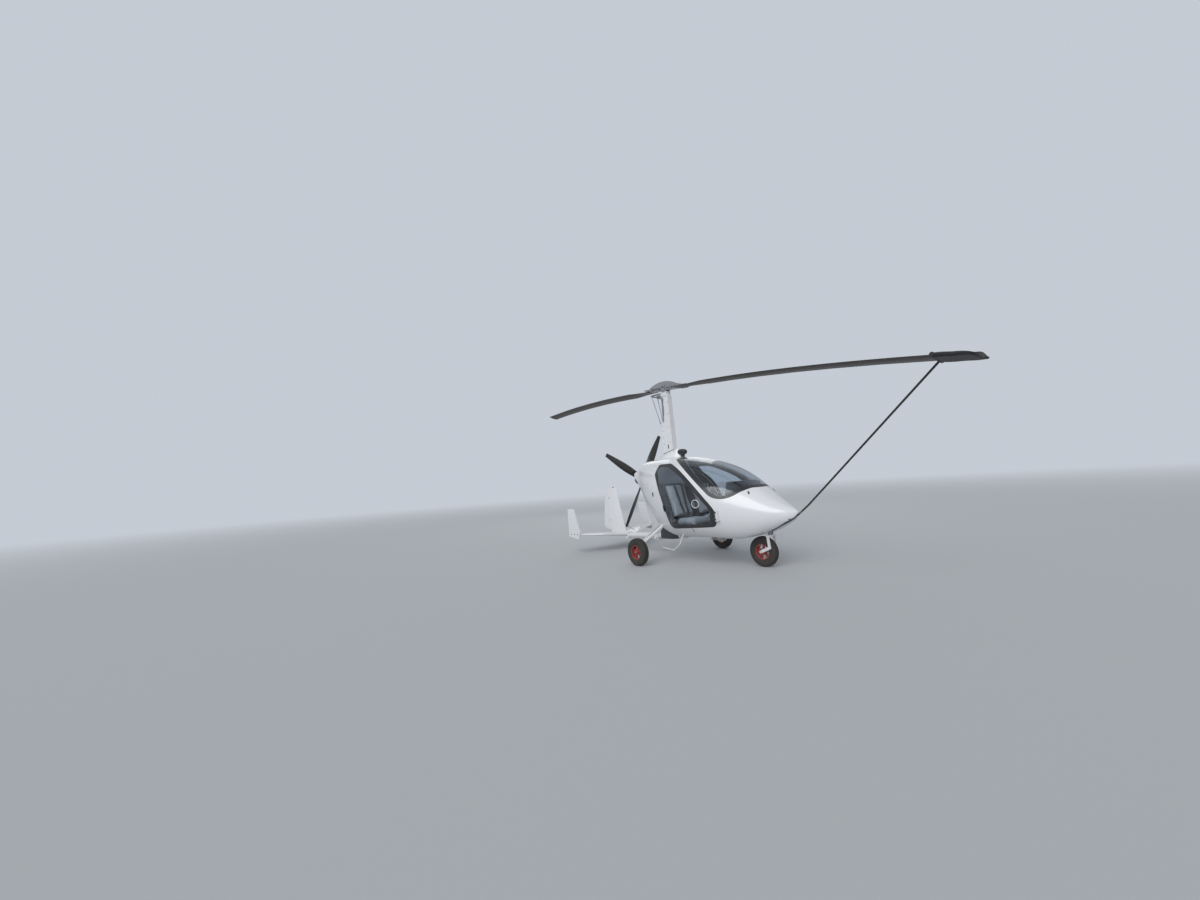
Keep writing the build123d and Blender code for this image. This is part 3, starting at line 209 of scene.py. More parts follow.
wire(paint, (ground, "Object", reach, 0), (reach, "Value", fade, "Value"), (fade, 0, only_seen, 0),
     (looked_at, "Is Camera Ray", only_seen, 1), (only_seen, 0, floor_mix, 0), (matt, 0, floor_mix, 1),
     (glow, 0, floor_mix, 2), (floor_mix, 0, paint.nodes["Material Output"], "Surface"))
floor.data.materials.append(floor_paint)

# %% [markdown]
# Three effects return in almost every finish, so each is a node group with named sockets: a slow drift of
# colour over the surface, a film of dust that thickens towards the ground, and a fine grain for the bump.

# %% Shared effects
COLOUR = "NodeSocketColor"
NUMBER = "NodeSocketFloat"
DIRECTION = "NodeSocketVector"


def new_group(name, inputs, outputs):
    """A node group whose sockets are given as (name, kind, value)."""
    group = bpy.data.node_groups.new(name, "ShaderNodeTree")
    for label, kind, value in inputs:
        socket = group.interface.new_socket(label, in_out="INPUT", socket_type=kind)
        socket.default_value = value
    for label, kind in outputs:
        group.interface.new_socket(label, in_out="OUTPUT", socket_type=kind)
    entry = group.nodes.new("NodeGroupInput")
    leave = group.nodes.new("NodeGroupOutput")
    return group, entry, leave


def noise(group, scale, detail):
    """Noise on the object's own coordinates."""
    texture = add_node(group, "TexNoise")
    texture.inputs["Scale"].default_value = scale
    texture.inputs["Detail"].default_value = detail
    wire(group, (add_node(group, "TexCoord"), "Object", texture, "Vector"))
    return texture


drift, drift_in, drift_out = new_group(
    "colour_drift",
    [("Main", COLOUR, (0.8, 0.8, 0.8, 1)), ("Other", COLOUR, (0.7, 0.7, 0.7, 1)), ("Scale", NUMBER, 3.0),
     ("Amount", NUMBER, 0.5)], [("Color", COLOUR)])
cloud = noise(drift, 3.0, 5.0)
amount = add_node(drift, "Math", operation="MULTIPLY")
drift_mix = add_node(drift, "Mix", data_type="RGBA")
wire(drift, (drift_in, "Scale", cloud, "Scale"), (cloud, "Fac", amount, 0), (drift_in, "Amount", amount, 1),
     (amount, 0, drift_mix, "Factor"), (drift_in, "Main", drift_mix, "A"),
     (drift_in, "Other", drift_mix, "B"), (drift_mix, "Result", drift_out, "Color"))

DUST_TOP = 0.75
DUST_FLOOR = 0.05
DUST_ROUGHENS = 0.45
dust, dust_in, dust_out = new_group(
    "low_dust",
    [("Clean", COLOUR, (0.8, 0.8, 0.8, 1)), ("Dust", COLOUR, (0.42, 0.36, 0.30, 1)), ("Amount", NUMBER, 0.3),
     ("Roughness", NUMBER, 0.3)], [("Color", COLOUR), ("Roughness", NUMBER)])
dust_place = add_node(dust, "TexCoord")
dust_split = add_node(dust, "SeparateXYZ")
dust_height = add_node(dust, "MapRange")
dust_height.inputs["From Min"].default_value = DUST_TOP
dust_height.inputs["From Max"].default_value = DUST_FLOOR
patches = noise(dust, 14.0, 8.0)
dust_mask = add_node(dust, "Math", operation="MULTIPLY")
dust_share = add_node(dust, "Math", operation="MULTIPLY")
dust_mix = add_node(dust, "Mix", data_type="RGBA")
dust_rough = add_node(dust, "Math", operation="MULTIPLY_ADD")
dust_rough.inputs[1].default_value = DUST_ROUGHENS
wire(dust, (dust_place, "Object", dust_split, 0), (dust_split, "Z", dust_height, "Value"),
     (dust_height, 0, dust_mask, 0), (patches, "Fac", dust_mask, 1), (dust_mask, 0, dust_share, 0),
     (dust_in, "Amount", dust_share, 1), (dust_share, 0, dust_mix, "Factor"),
     (dust_in, "Clean", dust_mix, "A"), (dust_in, "Dust", dust_mix, "B"), (dust_share, 0, dust_rough, 0),
     (dust_in, "Roughness", dust_rough, 2),
     (dust_mix, "Result", dust_out, "Color"), (dust_rough, 0, dust_out, "Roughness"))

grain, grain_in, grain_out = new_group(
    "fine_grain", [("Scale", NUMBER, 200.0), ("Stretch", DIRECTION, (1, 1, 1))], [("Height", NUMBER)])
grain_place = add_node(grain, "TexCoord")
grain_stretch = add_node(grain, "VectorMath", operation="MULTIPLY")
grain_noise = add_node(grain, "TexNoise")
grain_noise.inputs["Detail"].default_value = 3.0
wire(grain, (grain_place, "Object", grain_stretch, 0), (grain_in, "Stretch", grain_stretch, 1),
     (grain_stretch, 0, grain_noise, "Vector"), (grain_in, "Scale", grain_noise, "Scale"),
     (grain_noise, "Fac", grain_out, "Height"))
print("effect groups:", len(bpy.data.node_groups))

# %% [markdown]
# Each finish names its colour and the tone it drifts to, how rough it is, how much dust it holds and how its
# grain lies. Paint has a clear coat, the propeller and the rotor show streaks along their length.

# %% Finishes
finishes = {}
COAT_ROUGHNESS = 0.08


def use_group(material, group, values):
    """Place a shared effect in a material with its own values."""
    node = add_node(material.node_tree, "Group", node_tree=group)
    for label, value in values.items():
        node.inputs[label].default_value = value
    return node


def new_material(name):
    """A material with nodes, its tree and its shader."""
    material = bpy.data.materials.new(name)
    material.use_nodes = True
    finishes[name] = material
    return material, material.node_tree, material.node_tree.nodes["Principled BSDF"]


def raised_by(tree, shader, source, strength, distance):
    """Bump on a shader from a node's height."""
    bump = add_node(tree, "Bump")
    bump.inputs["Strength"].default_value = strength
    bump.inputs["Distance"].default_value = distance
    wire(tree, (source, "Height", bump, "Height"), (bump, "Normal", shader, "Normal"))


def finish(name, colour, tone, rough, dusty, grain_scale, bump, stretch, metal, coat, drift_scale):
    """A finish from the three shared effects; the constants stay on the shader's own sockets."""
    material, tree, shader = new_material(name)
    shader.inputs["Metallic"].default_value = metal
    shader.inputs["Coat Weight"].default_value = coat
    shader.inputs["Coat Roughness"].default_value = COAT_ROUGHNESS
    tint = use_group(material, drift, {"Main": colour + (1,), "Other": tone + (1,), "Scale": drift_scale,
                                       "Amount": 1.0})
    film = use_group(material, dust, {"Amount": dusty, "Roughness": rough})
    fine = use_group(material, grain, {"Scale": grain_scale, "Stretch": stretch})
    wire(tree, (tint, "Color", film, "Clean"), (film, "Color", shader, "Base Color"),
         (film, "Roughness", shader, "Roughness"))
    raised_by(tree, shader, fine, bump, 0.002)


# columns: name, colour, drift tone, roughness, dust, grain scale, bump, stretch, metal, coat, drift scale
FINISH_TABLE = [
    ("body_white", (0.80, 0.81, 0.83), (0.73, 0.74, 0.76), 0.26, 0.45, 90, 0.05, (1, 1, 1), 0, 0.6, 1.6),
    ("trim_black", (0.018, 0.018, 0.02), (0.03, 0.03, 0.032), 0.33, 0.25, 260, 0.10, (1, 1, 1), 0, 0.2, 8),
    ("bare_aluminium", (0.62, 0.63, 0.65), (0.48, 0.49, 0.51), 0.34, 0.2, 300, 0.25, (1, 12, 1), 1, 0, 12),
    ("engine_metal", (0.16, 0.165, 0.17), (0.09, 0.09, 0.095), 0.55, 0.3, 160, 0.5, (1, 1, 1), 0.6, 0, 9),
    ("propeller_dark", (0.02, 0.018, 0.018), (0.038, 0.034, 0.032), 0.36, 0, 220, 0.15, (4, 1, 1), 0, 0.35,
     6),
    ("rubber_black", (0.018, 0.018, 0.019), (0.03, 0.029, 0.029), 0.7, 0.2, 320, 0.35, (1, 1, 1), 0, 0, 10),
    ("steel_plain", (0.40, 0.41, 0.43), (0.28, 0.28, 0.29), 0.38, 0.3, 400, 0.25, (1, 1, 8), 1, 0, 14),
    ("rotor_dark", (0.022, 0.013, 0.011), (0.04, 0.024, 0.019), 0.42, 0, 26, 0.12, (0.15, 6, 6), 0, 0.1, 2.2),
    ("rim_red", (0.36, 0.012, 0.012), (0.22, 0.009, 0.009), 0.30, 0.25, 180, 0.08, (1, 1, 1), 0, 0.5, 9),
    ("cabin_dark", (0.055, 0.056, 0.060), (0.080, 0.080, 0.084), 0.62, 0, 520, 0.45, (1, 1, 1), 0, 0, 6),
    ("tyre_rubber", (0.014, 0.014, 0.015), (0.026, 0.025, 0.024), 0.78, 0.14, 240, 0.5, (1, 1, 1), 0, 0, 12),
    ("lever_white", (0.66, 0.66, 0.65), (0.56, 0.56, 0.55), 0.40, 0.2, 200, 0.10, (1, 1, 1), 0, 0.2, 6),
    ("hub_grey", (0.36, 0.36, 0.38), (0.27, 0.27, 0.29), 0.36, 0, 120, 0.10, (1, 1, 1), 0.25, 0.4, 6),
    ("strip_metal", (0.50, 0.50, 0.51), (0.36, 0.35, 0.34), 0.32, 0, 300, 0.2, (1, 1, 1), 1, 0, 14),
]
for row in FINISH_TABLE:
    finish(*row)
print("finishes:", len(finishes))

# %% [markdown]
# Seat covers, the sock and the webbing are woven. Three crossed waves give the threads, and their mean
# drives both the colour and the bump, so that the cloth catches the light along its yarns.

# %% Woven finishes
weave, weave_in, weave_out = new_group(
    "weave",
    [("Scale", NUMBER, 400.0), ("Yarn", COLOUR, (0.3, 0.3, 0.3, 1)), ("Gap", COLOUR, (0.1, 0.1, 0.1, 1))],
    [("Color", COLOUR), ("Height", NUMBER)])
weave_place = add_node(weave, "TexCoord")
threads = []
for axis in ("X", "Y", "Z"):
    wave = add_node(weave, "TexWave", bands_direction=axis)
    wave.inputs["Distortion"].default_value = 0.6
    wire(weave, (weave_place, "Object", wave, "Vector"), (weave_in, "Scale", wave, "Scale"))
    threads.append(wave)
first_sum = add_node(weave, "Math")
second_sum = add_node(weave, "Math")
share_out = add_node(weave, "Math", operation="DIVIDE")
share_out.inputs[1].default_value = len(threads)
weave_mix = add_node(weave, "Mix", data_type="RGBA")
wire(weave, (threads[0], "Fac", first_sum, 0), (threads[1], "Fac", first_sum, 1),
     (first_sum, 0, second_sum, 0), (threads[2], "Fac", second_sum, 1), (second_sum, 0, share_out, 0),
     (share_out, 0, weave_mix, "Factor"),
     (weave_in, "Gap", weave_mix, "A"), (weave_in, "Yarn", weave_mix, "B"),
     (weave_mix, "Result", weave_out, "Color"), (share_out, 0, weave_out, "Height"))


def cloth_finish(name, yarn, gap, scale, rough, bump):
    """A woven finish with a soft sheen."""
    material, tree, shader = new_material(name)
    shader.inputs["Roughness"].default_value = rough
    shader.inputs["Sheen Weight"].default_value = 0.25
    woven = use_group(material, weave, {"Scale": scale, "Yarn": yarn + (1,), "Gap": gap + (1,)})
    faded = tuple(channel * 0.7 for channel in yarn) + (1,)
    tint = use_group(material, drift, {"Scale": 7.0, "Amount": 0.5, "Other": faded})
    wire(tree, (woven, "Color", tint, "Main"), (tint, "Color", shader, "Base Color"))
    raised_by(tree, shader, woven, bump, 0.001)


cloth_finish("seat_cloth", (0.46, 0.46, 0.47), (0.26, 0.26, 0.27), 260.0, 0.85, 0.5)
cloth_finish("black_cloth", (0.022, 0.022, 0.024), (0.008, 0.008, 0.009), 220.0, 0.8, 0.6)
cloth_finish("webbing", (0.030, 0.030, 0.032), (0.010, 0.010, 0.011), 500.0, 0.7, 0.7)

# %% [markdown]
# The glazing is clear acrylic, a little grey, with faint wipe marks in its gloss. Lamps must reach the
# cabin, so for shadow rays the pane is simply transparent; that switch stays in the material itself.

# %% Glazing
ACRYLIC_IOR = 1.45
glazing, pane, acrylic = new_material("clear_glazing")
acrylic.inputs["Metallic"].default_value = 0.0
acrylic.inputs["Transmission Weight"].default_value = 1.0
acrylic.inputs["IOR"].default_value = ACRYLIC_IOR
pane_tint = use_group(glazing, drift, {"Main": (0.70, 0.76, 0.81, 1), "Other": (0.62, 0.69, 0.76, 1),
                                       "Scale": 1.2})
wipe = use_group(glazing, grain, {"Scale": 9.0, "Stretch": (1, 1, 3)})
wipe_range = add_node(pane, "MapRange")
wipe_range.inputs["To Min"].default_value = 0.01
wipe_range.inputs["To Max"].default_value = 0.07
see_through = add_node(pane, "BsdfTransparent")
see_through.inputs["Color"].default_value = (0.90, 0.93, 0.95, 1)
pane_path = add_node(pane, "LightPath")
pane_mix = add_node(pane, "MixShader")
wire(pane, (pane_tint, "Color", acrylic, "Base Color"), (wipe, "Height", wipe_range, "Value"),
     (wipe_range, 0, acrylic, "Roughness"), (pane_path, "Is Shadow Ray", pane_mix, 0),
     (acrylic, 0, pane_mix, 1), (see_through, 0, pane_mix, 2),
     (pane_mix, 0, pane.nodes["Material Output"], "Surface"))

# %% [markdown]
# Every solid of the frame takes the finish of its slot. Four don't look as their slot's name says: the rotor
# head and the door hinges are painted white, the step tubes are off-white, and the hub bar is a flat grey.

# %% Dress the frame
OTHER_FINISH = {"rotor_head": "body_white", "boarding_steps": "lever_white", "rotor_hub_bar": "hub_grey",
                "door_hinges": "body_white"}
slots = {row["node"]: row["material_slot"] for row in frame["record"]["subparts"]}
for name, node in nodes.items():
    chosen = finishes[OTHER_FINISH.get(name, slots[name])]
    if not node.data.materials:
        node.data.materials.append(chosen)
    for index in range(len(node.data.materials)):
        node.data.materials[index] = chosen
print("solids dressed:", len(nodes))

# %% [markdown]
# A handful of helpers do the work of the hands: clear the selection, settle a piece so that its place is in
# its mesh, join pieces, and give a finished piece its finish and the body that it rides on.

# %% Workshop helpers
SIDES = ((-1, "starboard"), (1, "port"))
WELD = 0.00002


def rotation(axis, degrees):
    """A turn about an axis through the origin."""
    return Matrix.Rotation(math.radians(degrees), 4, axis)


def clear_selection():
    if bpy.context.mode != "OBJECT":
        bpy.ops.object.mode_set(mode="OBJECT")
    bpy.ops.object.select_all(action="DESELECT")


def pick_only(piece):
    clear_selection()
    piece.select_set(True)
    bpy.context.view_layer.objects.active = piece


def settle(piece, name):
    """Put the piece's place, turn and size into its mesh."""
    pick_only(piece)
    bpy.ops.object.transform_apply(location=True, rotation=True, scale=True)
    piece.name = name
    piece.data.name = name
    return piece


def apply_modifiers(piece):
    pick_only(piece)
    for modifier in list(piece.modifiers):
        bpy.ops.object.modifier_apply(modifier=modifier.name)


def remesh(piece, voxel):
    """Even out a form into small faces of one size."""
    modifier = piece.modifiers.new("remesh", "REMESH")
    modifier.mode = "VOXEL"
    modifier.voxel_size = voxel
    apply_modifiers(piece)


def round_edges(piece, width, segments=2, angle=40):
    """Bevel the edges that turn more than an angle."""
    modifier = piece.modifiers.new("round", "BEVEL")
    modifier.width = width
    modifier.segments = segments
    modifier.limit_method = "ANGLE"
    modifier.angle_limit = math.radians(angle)
    apply_modifiers(piece)


def join(name, pieces):
    clear_selection()
    for piece in pieces:
        piece.select_set(True)
    bpy.context.view_layer.objects.active = pieces[0]
    if len(pieces) > 1:
        bpy.ops.object.join()
    joined = bpy.context.object
    joined.name = name
    joined.data.name = name
    return joined


def give(piece, body, slot, look=None, smooth=35):
    """Finish, smooth shading and body of a finished piece; the slot names the finish when no look is given.
    """
    piece.data.materials.clear()
    piece.data.materials.append(finishes[look or slot])
    pick_only(piece)
    bpy.ops.object.shade_smooth_by_angle(angle=math.radians(smooth))
    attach(piece, body)
    return piece


def block(name, low, high, edge=0.003):
    """A bevelled block between two corners."""
    centre = (Vector(low) + Vector(high)) / 2
    clear_selection()
    bpy.ops.mesh.primitive_cube_add(size=1, location=centre)
    piece = bpy.context.object
    piece.scale = Vector(high) - Vector(low)
    settle(piece, name)
    round_edges(piece, edge)
    return piece


def bar(name, start, end, radius, sides=20, edge=0.0015):
    """A round bar between two points, with its rims broken."""
    start = Vector(start)
    end = Vector(end)
    clear_selection()
    bpy.ops.mesh.primitive_cylinder_add(vertices=sides, radius=radius, depth=(end - start).length,
                                        location=(start + end) / 2)
    piece = bpy.context.object
    piece.rotation_euler = (end - start).to_track_quat("Z", "Y").to_euler()
    settle(piece, name)
    round_edges(piece, edge, segments=2, angle=50)
    return piece


def pipe(name, points, radius, order=3):
    """A bent pipe along a smooth curve through the space between its points."""
    curve = bpy.data.curves.new(name, "CURVE")
    curve.dimensions = "3D"
    curve.bevel_depth = radius
    curve.bevel_resolution = 3
    curve.resolution_u = 8
    curve.use_fill_caps = True
    line = curve.splines.new("NURBS")
    line.points.add(len(points) - 1)
    for knot, point in zip(line.points, points):
        knot.co = (*point, 1.0)
    line.order_u = order
    line.use_endpoint_u = True
    pick_only(new_object(name, curve))
    bpy.ops.object.convert(target="MESH")
    piece = bpy.context.object
    piece.name = name
    return piece


def turned(name, profile, centre, steps=48):
    """Turn a closed profile of (y, radius) pairs round the Y axis through a centre."""
    centre = Vector(centre)
    clear_selection()
    bpy.ops.mesh.primitive_plane_add(size=0.01, location=centre)
    piece = bpy.context.object
    settle(piece, name)
    bpy.ops.object.mode_set(mode="EDIT")
    form = bmesh.from_edit_mesh(piece.data)
    form.verts.ensure_lookup_table()
    bmesh.ops.delete(form, geom=list(form.verts)[1:], context="VERTS")
    form.verts.ensure_lookup_table()
    here = centre + Vector((0, profile[0][0], profile[0][1]))
    form.verts[0].co = here
    form.verts[0].select = True
    form.select_flush(True)
    bmesh.update_edit_mesh(piece.data)
    bpy.ops.mesh.select_all(action="SELECT")
    for y, radius in list(profile[1:]) + [profile[0]]:
        there = centre + Vector((0, y, radius))
        bpy.ops.mesh.extrude_region_move(TRANSFORM_OT_translate={"value": there - here})
        here = there
    bpy.ops.mesh.select_all(action="SELECT")
    bpy.ops.mesh.spin(steps=steps, angle=math.tau, center=centre, axis=(0, 1, 0))
    bpy.ops.mesh.select_all(action="SELECT")
    bpy.ops.mesh.remove_doubles(threshold=WELD)
    bpy.ops.mesh.normals_make_consistent(inside=False)
    bpy.ops.object.mode_set(mode="OBJECT")
    return piece


def bolts(name, places, direction, size, body, slot="steel_plain"):
    """One hexagon bolt with its washer, copied to its places and joined."""
    lean = Vector(direction).to_track_quat("Z", "Y").to_matrix().to_4x4()
    copies = []
    for place in places:
        clear_selection()
        bpy.ops.mesh.primitive_cylinder_add(vertices=6, radius=size, depth=size * 1.1,
                                            location=(0, 0, size * 0.55))
        head = bpy.context.object
        bpy.ops.mesh.primitive_cylinder_add(vertices=18, radius=size * 1.35, depth=size * 0.3,
                                            location=(0, 0, size * 0.1))
        washer = bpy.context.object
        bolt = join("bolt", [head, washer])
        settle(bolt, "bolt")
        bolt.data.transform(Matrix.Translation(Vector(place)) @ lean)
        copies.append(bolt)
    piece = join(name, copies)
    return give(piece, body, slot)


def on_skin(node_name, x, z, side):
    """Where a level line from the side meets a solid, and the way its surface faces there."""
    _, place, normal, _ = nodes[node_name].ray_cast(Vector((x, side * 1.6, z)), Vector((0, -side, 0)))
    return place, normal


print("helpers ready")

# %% [markdown]
# The tyres are small aircraft tyres: a round shoulder, four grooves round the tread and a raised band on
# the wall. A profile is turned once for each wheel, and stands for the plain solid, which stays for contact.

# %% Tyres
def mirrored(half):
    """A profile from its half at negative y."""
    return half + [(-y, radius) for y, radius in reversed(half)]


# columns: y from the middle, radius
TYRE_PROFILE = mirrored([
    (-0.040, 0.099), (-0.046, 0.106), (-0.0515, 0.120), (-0.0540, 0.138), (-0.0545, 0.142), (-0.0538, 0.147),
    (-0.0540, 0.153), (-0.0515, 0.170), (-0.0470, 0.182), (-0.0400, 0.1895), (-0.0330, 0.1925),
    (-0.0315, 0.1885), (-0.0285, 0.1885), (-0.0270, 0.1945), (-0.0120, 0.1965), (-0.0105, 0.1920),
    (-0.0075, 0.1920), (-0.0060, 0.1970),
])
MAIN_X = 0.136
MAIN_Y = 0.918
NOSE_X = 1.603
AXLE_Z = 0.197
# columns: body, tyre node, rim node, place, side of the brake
WHEELS = [
    ("main_wheel_starboard", "main_tyre_starboard", "main_rim_starboard", (MAIN_X, -MAIN_Y, AXLE_Z), 1),
    ("main_wheel_port", "main_tyre_port", "main_rim_port", (MAIN_X, MAIN_Y, AXLE_Z), -1),
    ("nose_wheel", "nose_tyre", "nose_rim", (NOSE_X, 0.0, AXLE_Z), 0),
]
for body, tyre_node, rim_node, place, _ in WHEELS:
    tyre = turned("dressed_" + tyre_node, TYRE_PROFILE, place, steps=72)
    give(tyre, body, "tyre_rubber", smooth=50)
    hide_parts(tyre_node)
print("tyre faces:", len(tyre.data.polygons))

# %% [markdown]
# The rims are red and have five broad spokes. A turned barrel with a flange on each side carries the tyre,
# the spokes are one bevelled block copied round, and a turned hub with a ring of bolts closes the middle.

# %% Rims
BARREL_PROFILE = [(-0.042, 0.100), (-0.042, 0.104), (-0.038, 0.105), (-0.035, 0.098), (0.035, 0.098),
                  (0.038, 0.105), (0.042, 0.104), (0.042, 0.100), (0.040, 0.092), (0.012, 0.088),
                  (-0.012, 0.088), (-0.040, 0.092)]
HUB_PROFILE = mirrored([(-0.040, 0.0126), (-0.040, 0.026), (-0.036, 0.030), (-0.016, 0.031), (-0.013, 0.044)])
SPOKES = 5
RIM_BOLT_CIRCLE = 0.037
for body, tyre_node, rim_node, place, _ in WHEELS:
    centre = Vector(place)
    parts = [turned("barrel", BARREL_PROFILE, place, steps=60), turned("hub", HUB_PROFILE, place, steps=40)]
    for index in range(SPOKES):
        spoke = block("spoke", (-0.015, -0.011, 0.038), (0.015, 0.011, 0.093), edge=0.004)
        around = Matrix.Rotation(math.tau * index / SPOKES, 4, "Y")
        spoke.data.transform(Matrix.Translation(centre) @ around)
        parts.append(spoke)
    rim = join("dressed_" + rim_node, parts)
    give(rim, body, "rim_red")
    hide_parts(rim_node)
    turns = [math.tau * (index + 0.5) / SPOKES for index in range(SPOKES)]
    for side, label in ((-1, "_bolts_left"), (1, "_bolts_right")):
        ring = [centre + Vector((RIM_BOLT_CIRCLE * math.cos(turn), side * 0.013,
                                 RIM_BOLT_CIRCLE * math.sin(turn))) for turn in turns]
        bolts(rim_node + label, ring, (0, side, 0), 0.0042, body)
print("rims done")

# %% [markdown]
# The main wheels carry a thin brake disc on the inside. Its caliper is bolted to the leg's knuckle, so the
# disc turns with the wheel while the caliper and its hose stay with the airframe.

# %% Brakes and axle nuts
DISC_PROFILE = [(-0.002, 0.034), (-0.002, 0.082), (0.002, 0.082), (0.002, 0.034)]
for body, tyre_node, rim_node, (x, y, z), inward in WHEELS:
    if not inward:
        continue
    tag = "starboard" if y < 0 else "port"
    disc = turned("brake_disc_" + tag, DISC_PROFILE, (x, y + inward * 0.0495, z), steps=60)
    give(disc, body, "bare_aluminium", "strip_metal")
    caliper_y = y + inward * 0.0605
    caliper = block("brake_caliper_" + tag, (x - 0.088, caliper_y - 0.008, z - 0.028),
                    (x - 0.030, caliper_y + 0.008, z + 0.028), edge=0.005)
    give(caliper, "airframe", "engine_metal")
    end_y = y - inward * 0.048
    nut = bar("axle_nut_" + tag, (x, end_y + inward * 0.002, z), (x, end_y - inward * 0.008, z), 0.019,
              sides=6)
    give(nut, "airframe", "steel_plain")
    hose = pipe("brake_hose_" + tag, [(x - 0.075, caliper_y + inward * 0.012, z + 0.02),
                                      (x - 0.085, caliper_y + inward * 0.03, z + 0.09),
                                      (x - 0.020, caliper_y + inward * 0.10, z + 0.165),
                                      (0.150, inward * -0.60, 0.462), (0.163, inward * -0.47, 0.545)], 0.0032)
    give(hose, "airframe", "rubber_black")
for side, tag in SIDES:
    cap = bar("nose_axle_nut_" + tag, (NOSE_X, side * 0.0768, AXLE_Z), (NOSE_X, side * 0.0808, AXLE_Z), 0.019,
              sides=6)
    give(cap, "steering_fork", "steel_plain")

# %% [markdown]
# The seats are padded and light grey, with sewn upright channels. Each pad starts as a block a little
# smaller than its solid, is remeshed finely, and is blown up by a short cloth simulation. The channels are
# pressed in afterwards, because a remesh would rub them out.

# %% Seat cushions
VOXEL = 0.011
CLOTH_FRAMES = 16
PUFF_LIMIT = 0.016


def puff(piece, limit, pressure=4.0):
    """Swell a closed form by cloth pressure, with a limit on how far any point moves."""
    rest = [vertex.co.copy() for vertex in piece.data.vertices]
    cloth = piece.modifiers.new("cloth", "CLOTH")
    cloth.settings.use_pressure = True
    cloth.settings.uniform_pressure_force = pressure
    cloth.settings.effector_weights.gravity = 0.0
    cloth.settings.quality = 4
    cloth.point_cache.frame_start = 1
    cloth.point_cache.frame_end = CLOTH_FRAMES
    for moment in range(1, CLOTH_FRAMES + 1):
        bpy.context.scene.frame_set(moment)
    apply_modifiers(piece)
    bpy.context.scene.frame_set(1)
    for vertex, start in zip(piece.data.vertices, rest):
        moved = vertex.co - start
        if moved.length > limit:
            vertex.co = start + moved.normalized() * limit


def pad(name, size, edge):
    """A remeshed pad round the origin, ready to be blown up."""
    half = Vector(size) / 2
    piece = block(name, -half, half, edge=edge)
    remesh(piece, VOXEL)
    return piece


def press_channels(piece, along, across_axis, lines, depth, width):
    """Press sewn channels into the side that faces along an axis."""
    for vertex in piece.data.vertices:
        near = min(abs(vertex.co[across_axis] - line) for line in lines)
        face = vertex.co[along]
        if face > 0:
            vertex.co[along] -= depth * math.exp(-(near / width) ** 2)


SEAT_Y = 0.265
BACK_SIZE = (0.070, 0.375, 0.50)
SEAT_SIZE = (0.365, 0.375, 0.070)
CHANNEL_LINES = [-0.12, -0.06, 0.0, 0.06, 0.12]
BACK_LEAN = math.radians(-18.9)
BACK_CENTRE = (0.392, 0.890)
SEAT_CENTRE = (0.665, 0.594)
back_form = pad("seat_back_form", BACK_SIZE, 0.024)
puff(back_form, PUFF_LIMIT)
press_channels(back_form, 0, 1, CHANNEL_LINES, 0.010, 0.007)
back_form.data.transform(Matrix.Rotation(BACK_LEAN, 4, "Y"))
seat_form = pad("seat_form", SEAT_SIZE, 0.024)
puff(seat_form, PUFF_LIMIT)
press_channels(seat_form, 2, 1, CHANNEL_LINES, 0.010, 0.007)
for side, tag in SIDES:
    for form, centre, label in ((back_form, BACK_CENTRE, "back"), (seat_form, SEAT_CENTRE, "squab")):
        cushion = new_object("seat_%s_%s" % (label, tag), form.data.copy())
        cushion.data.transform(Matrix.Translation((centre[0], side * SEAT_Y, centre[1])))
        smooth = cushion.modifiers.new("smooth", "SUBSURF")
        smooth.levels = 1
        smooth.render_levels = 1
        apply_modifiers(cushion)
        give(cushion, "airframe", "seat_cloth", smooth=80)
    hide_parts("seat_" + tag)
for form in (back_form, seat_form):
    bpy.data.objects.remove(form)
print("cushion faces:", len(cushion.data.polygons))

# %% [markdown]
# Behind and under each cushion is a thin dark shell that carries it, and a four-point belt lies over it.
# Webbing is modelled straight as thin flat bands, because a simulation would only blur their edges.

# %% Seat shells and belts
def long_solid(name, rows):
    """A closed form through rows of four corners."""
    form = bmesh.new()
    rows = [[form.verts.new(corner) for corner in row] for row in rows]
    for first, second in zip(rows, rows[1:]):
        for side in range(4):
            form.faces.new((first[side], first[(side + 1) % 4], second[(side + 1) % 4], second[side]))
    form.faces.new(rows[0][::-1])
    form.faces.new(rows[-1])
    bmesh.ops.recalc_face_normals(form, faces=form.faces)
    mesh = bpy.data.meshes.new(name)
    form.to_mesh(mesh)
    form.free()
    return new_object(name, mesh)


def band(name, points, width, across, thickness=0.0022):
    """A flat strap through points; its width lies along a given direction."""
    across = Vector(across).normalized() * (width / 2)
    rows = []
    for index, point in enumerate(points):
        before = Vector(points[max(index - 1, 0)])
        after = Vector(points[min(index + 1, len(points) - 1)])
        lift = (after - before).cross(across).normalized() * (thickness / 2)
        here = Vector(point)
        rows.append([here - across - lift, here + across - lift, here + across + lift, here - across + lift])
    return long_solid(name, rows)


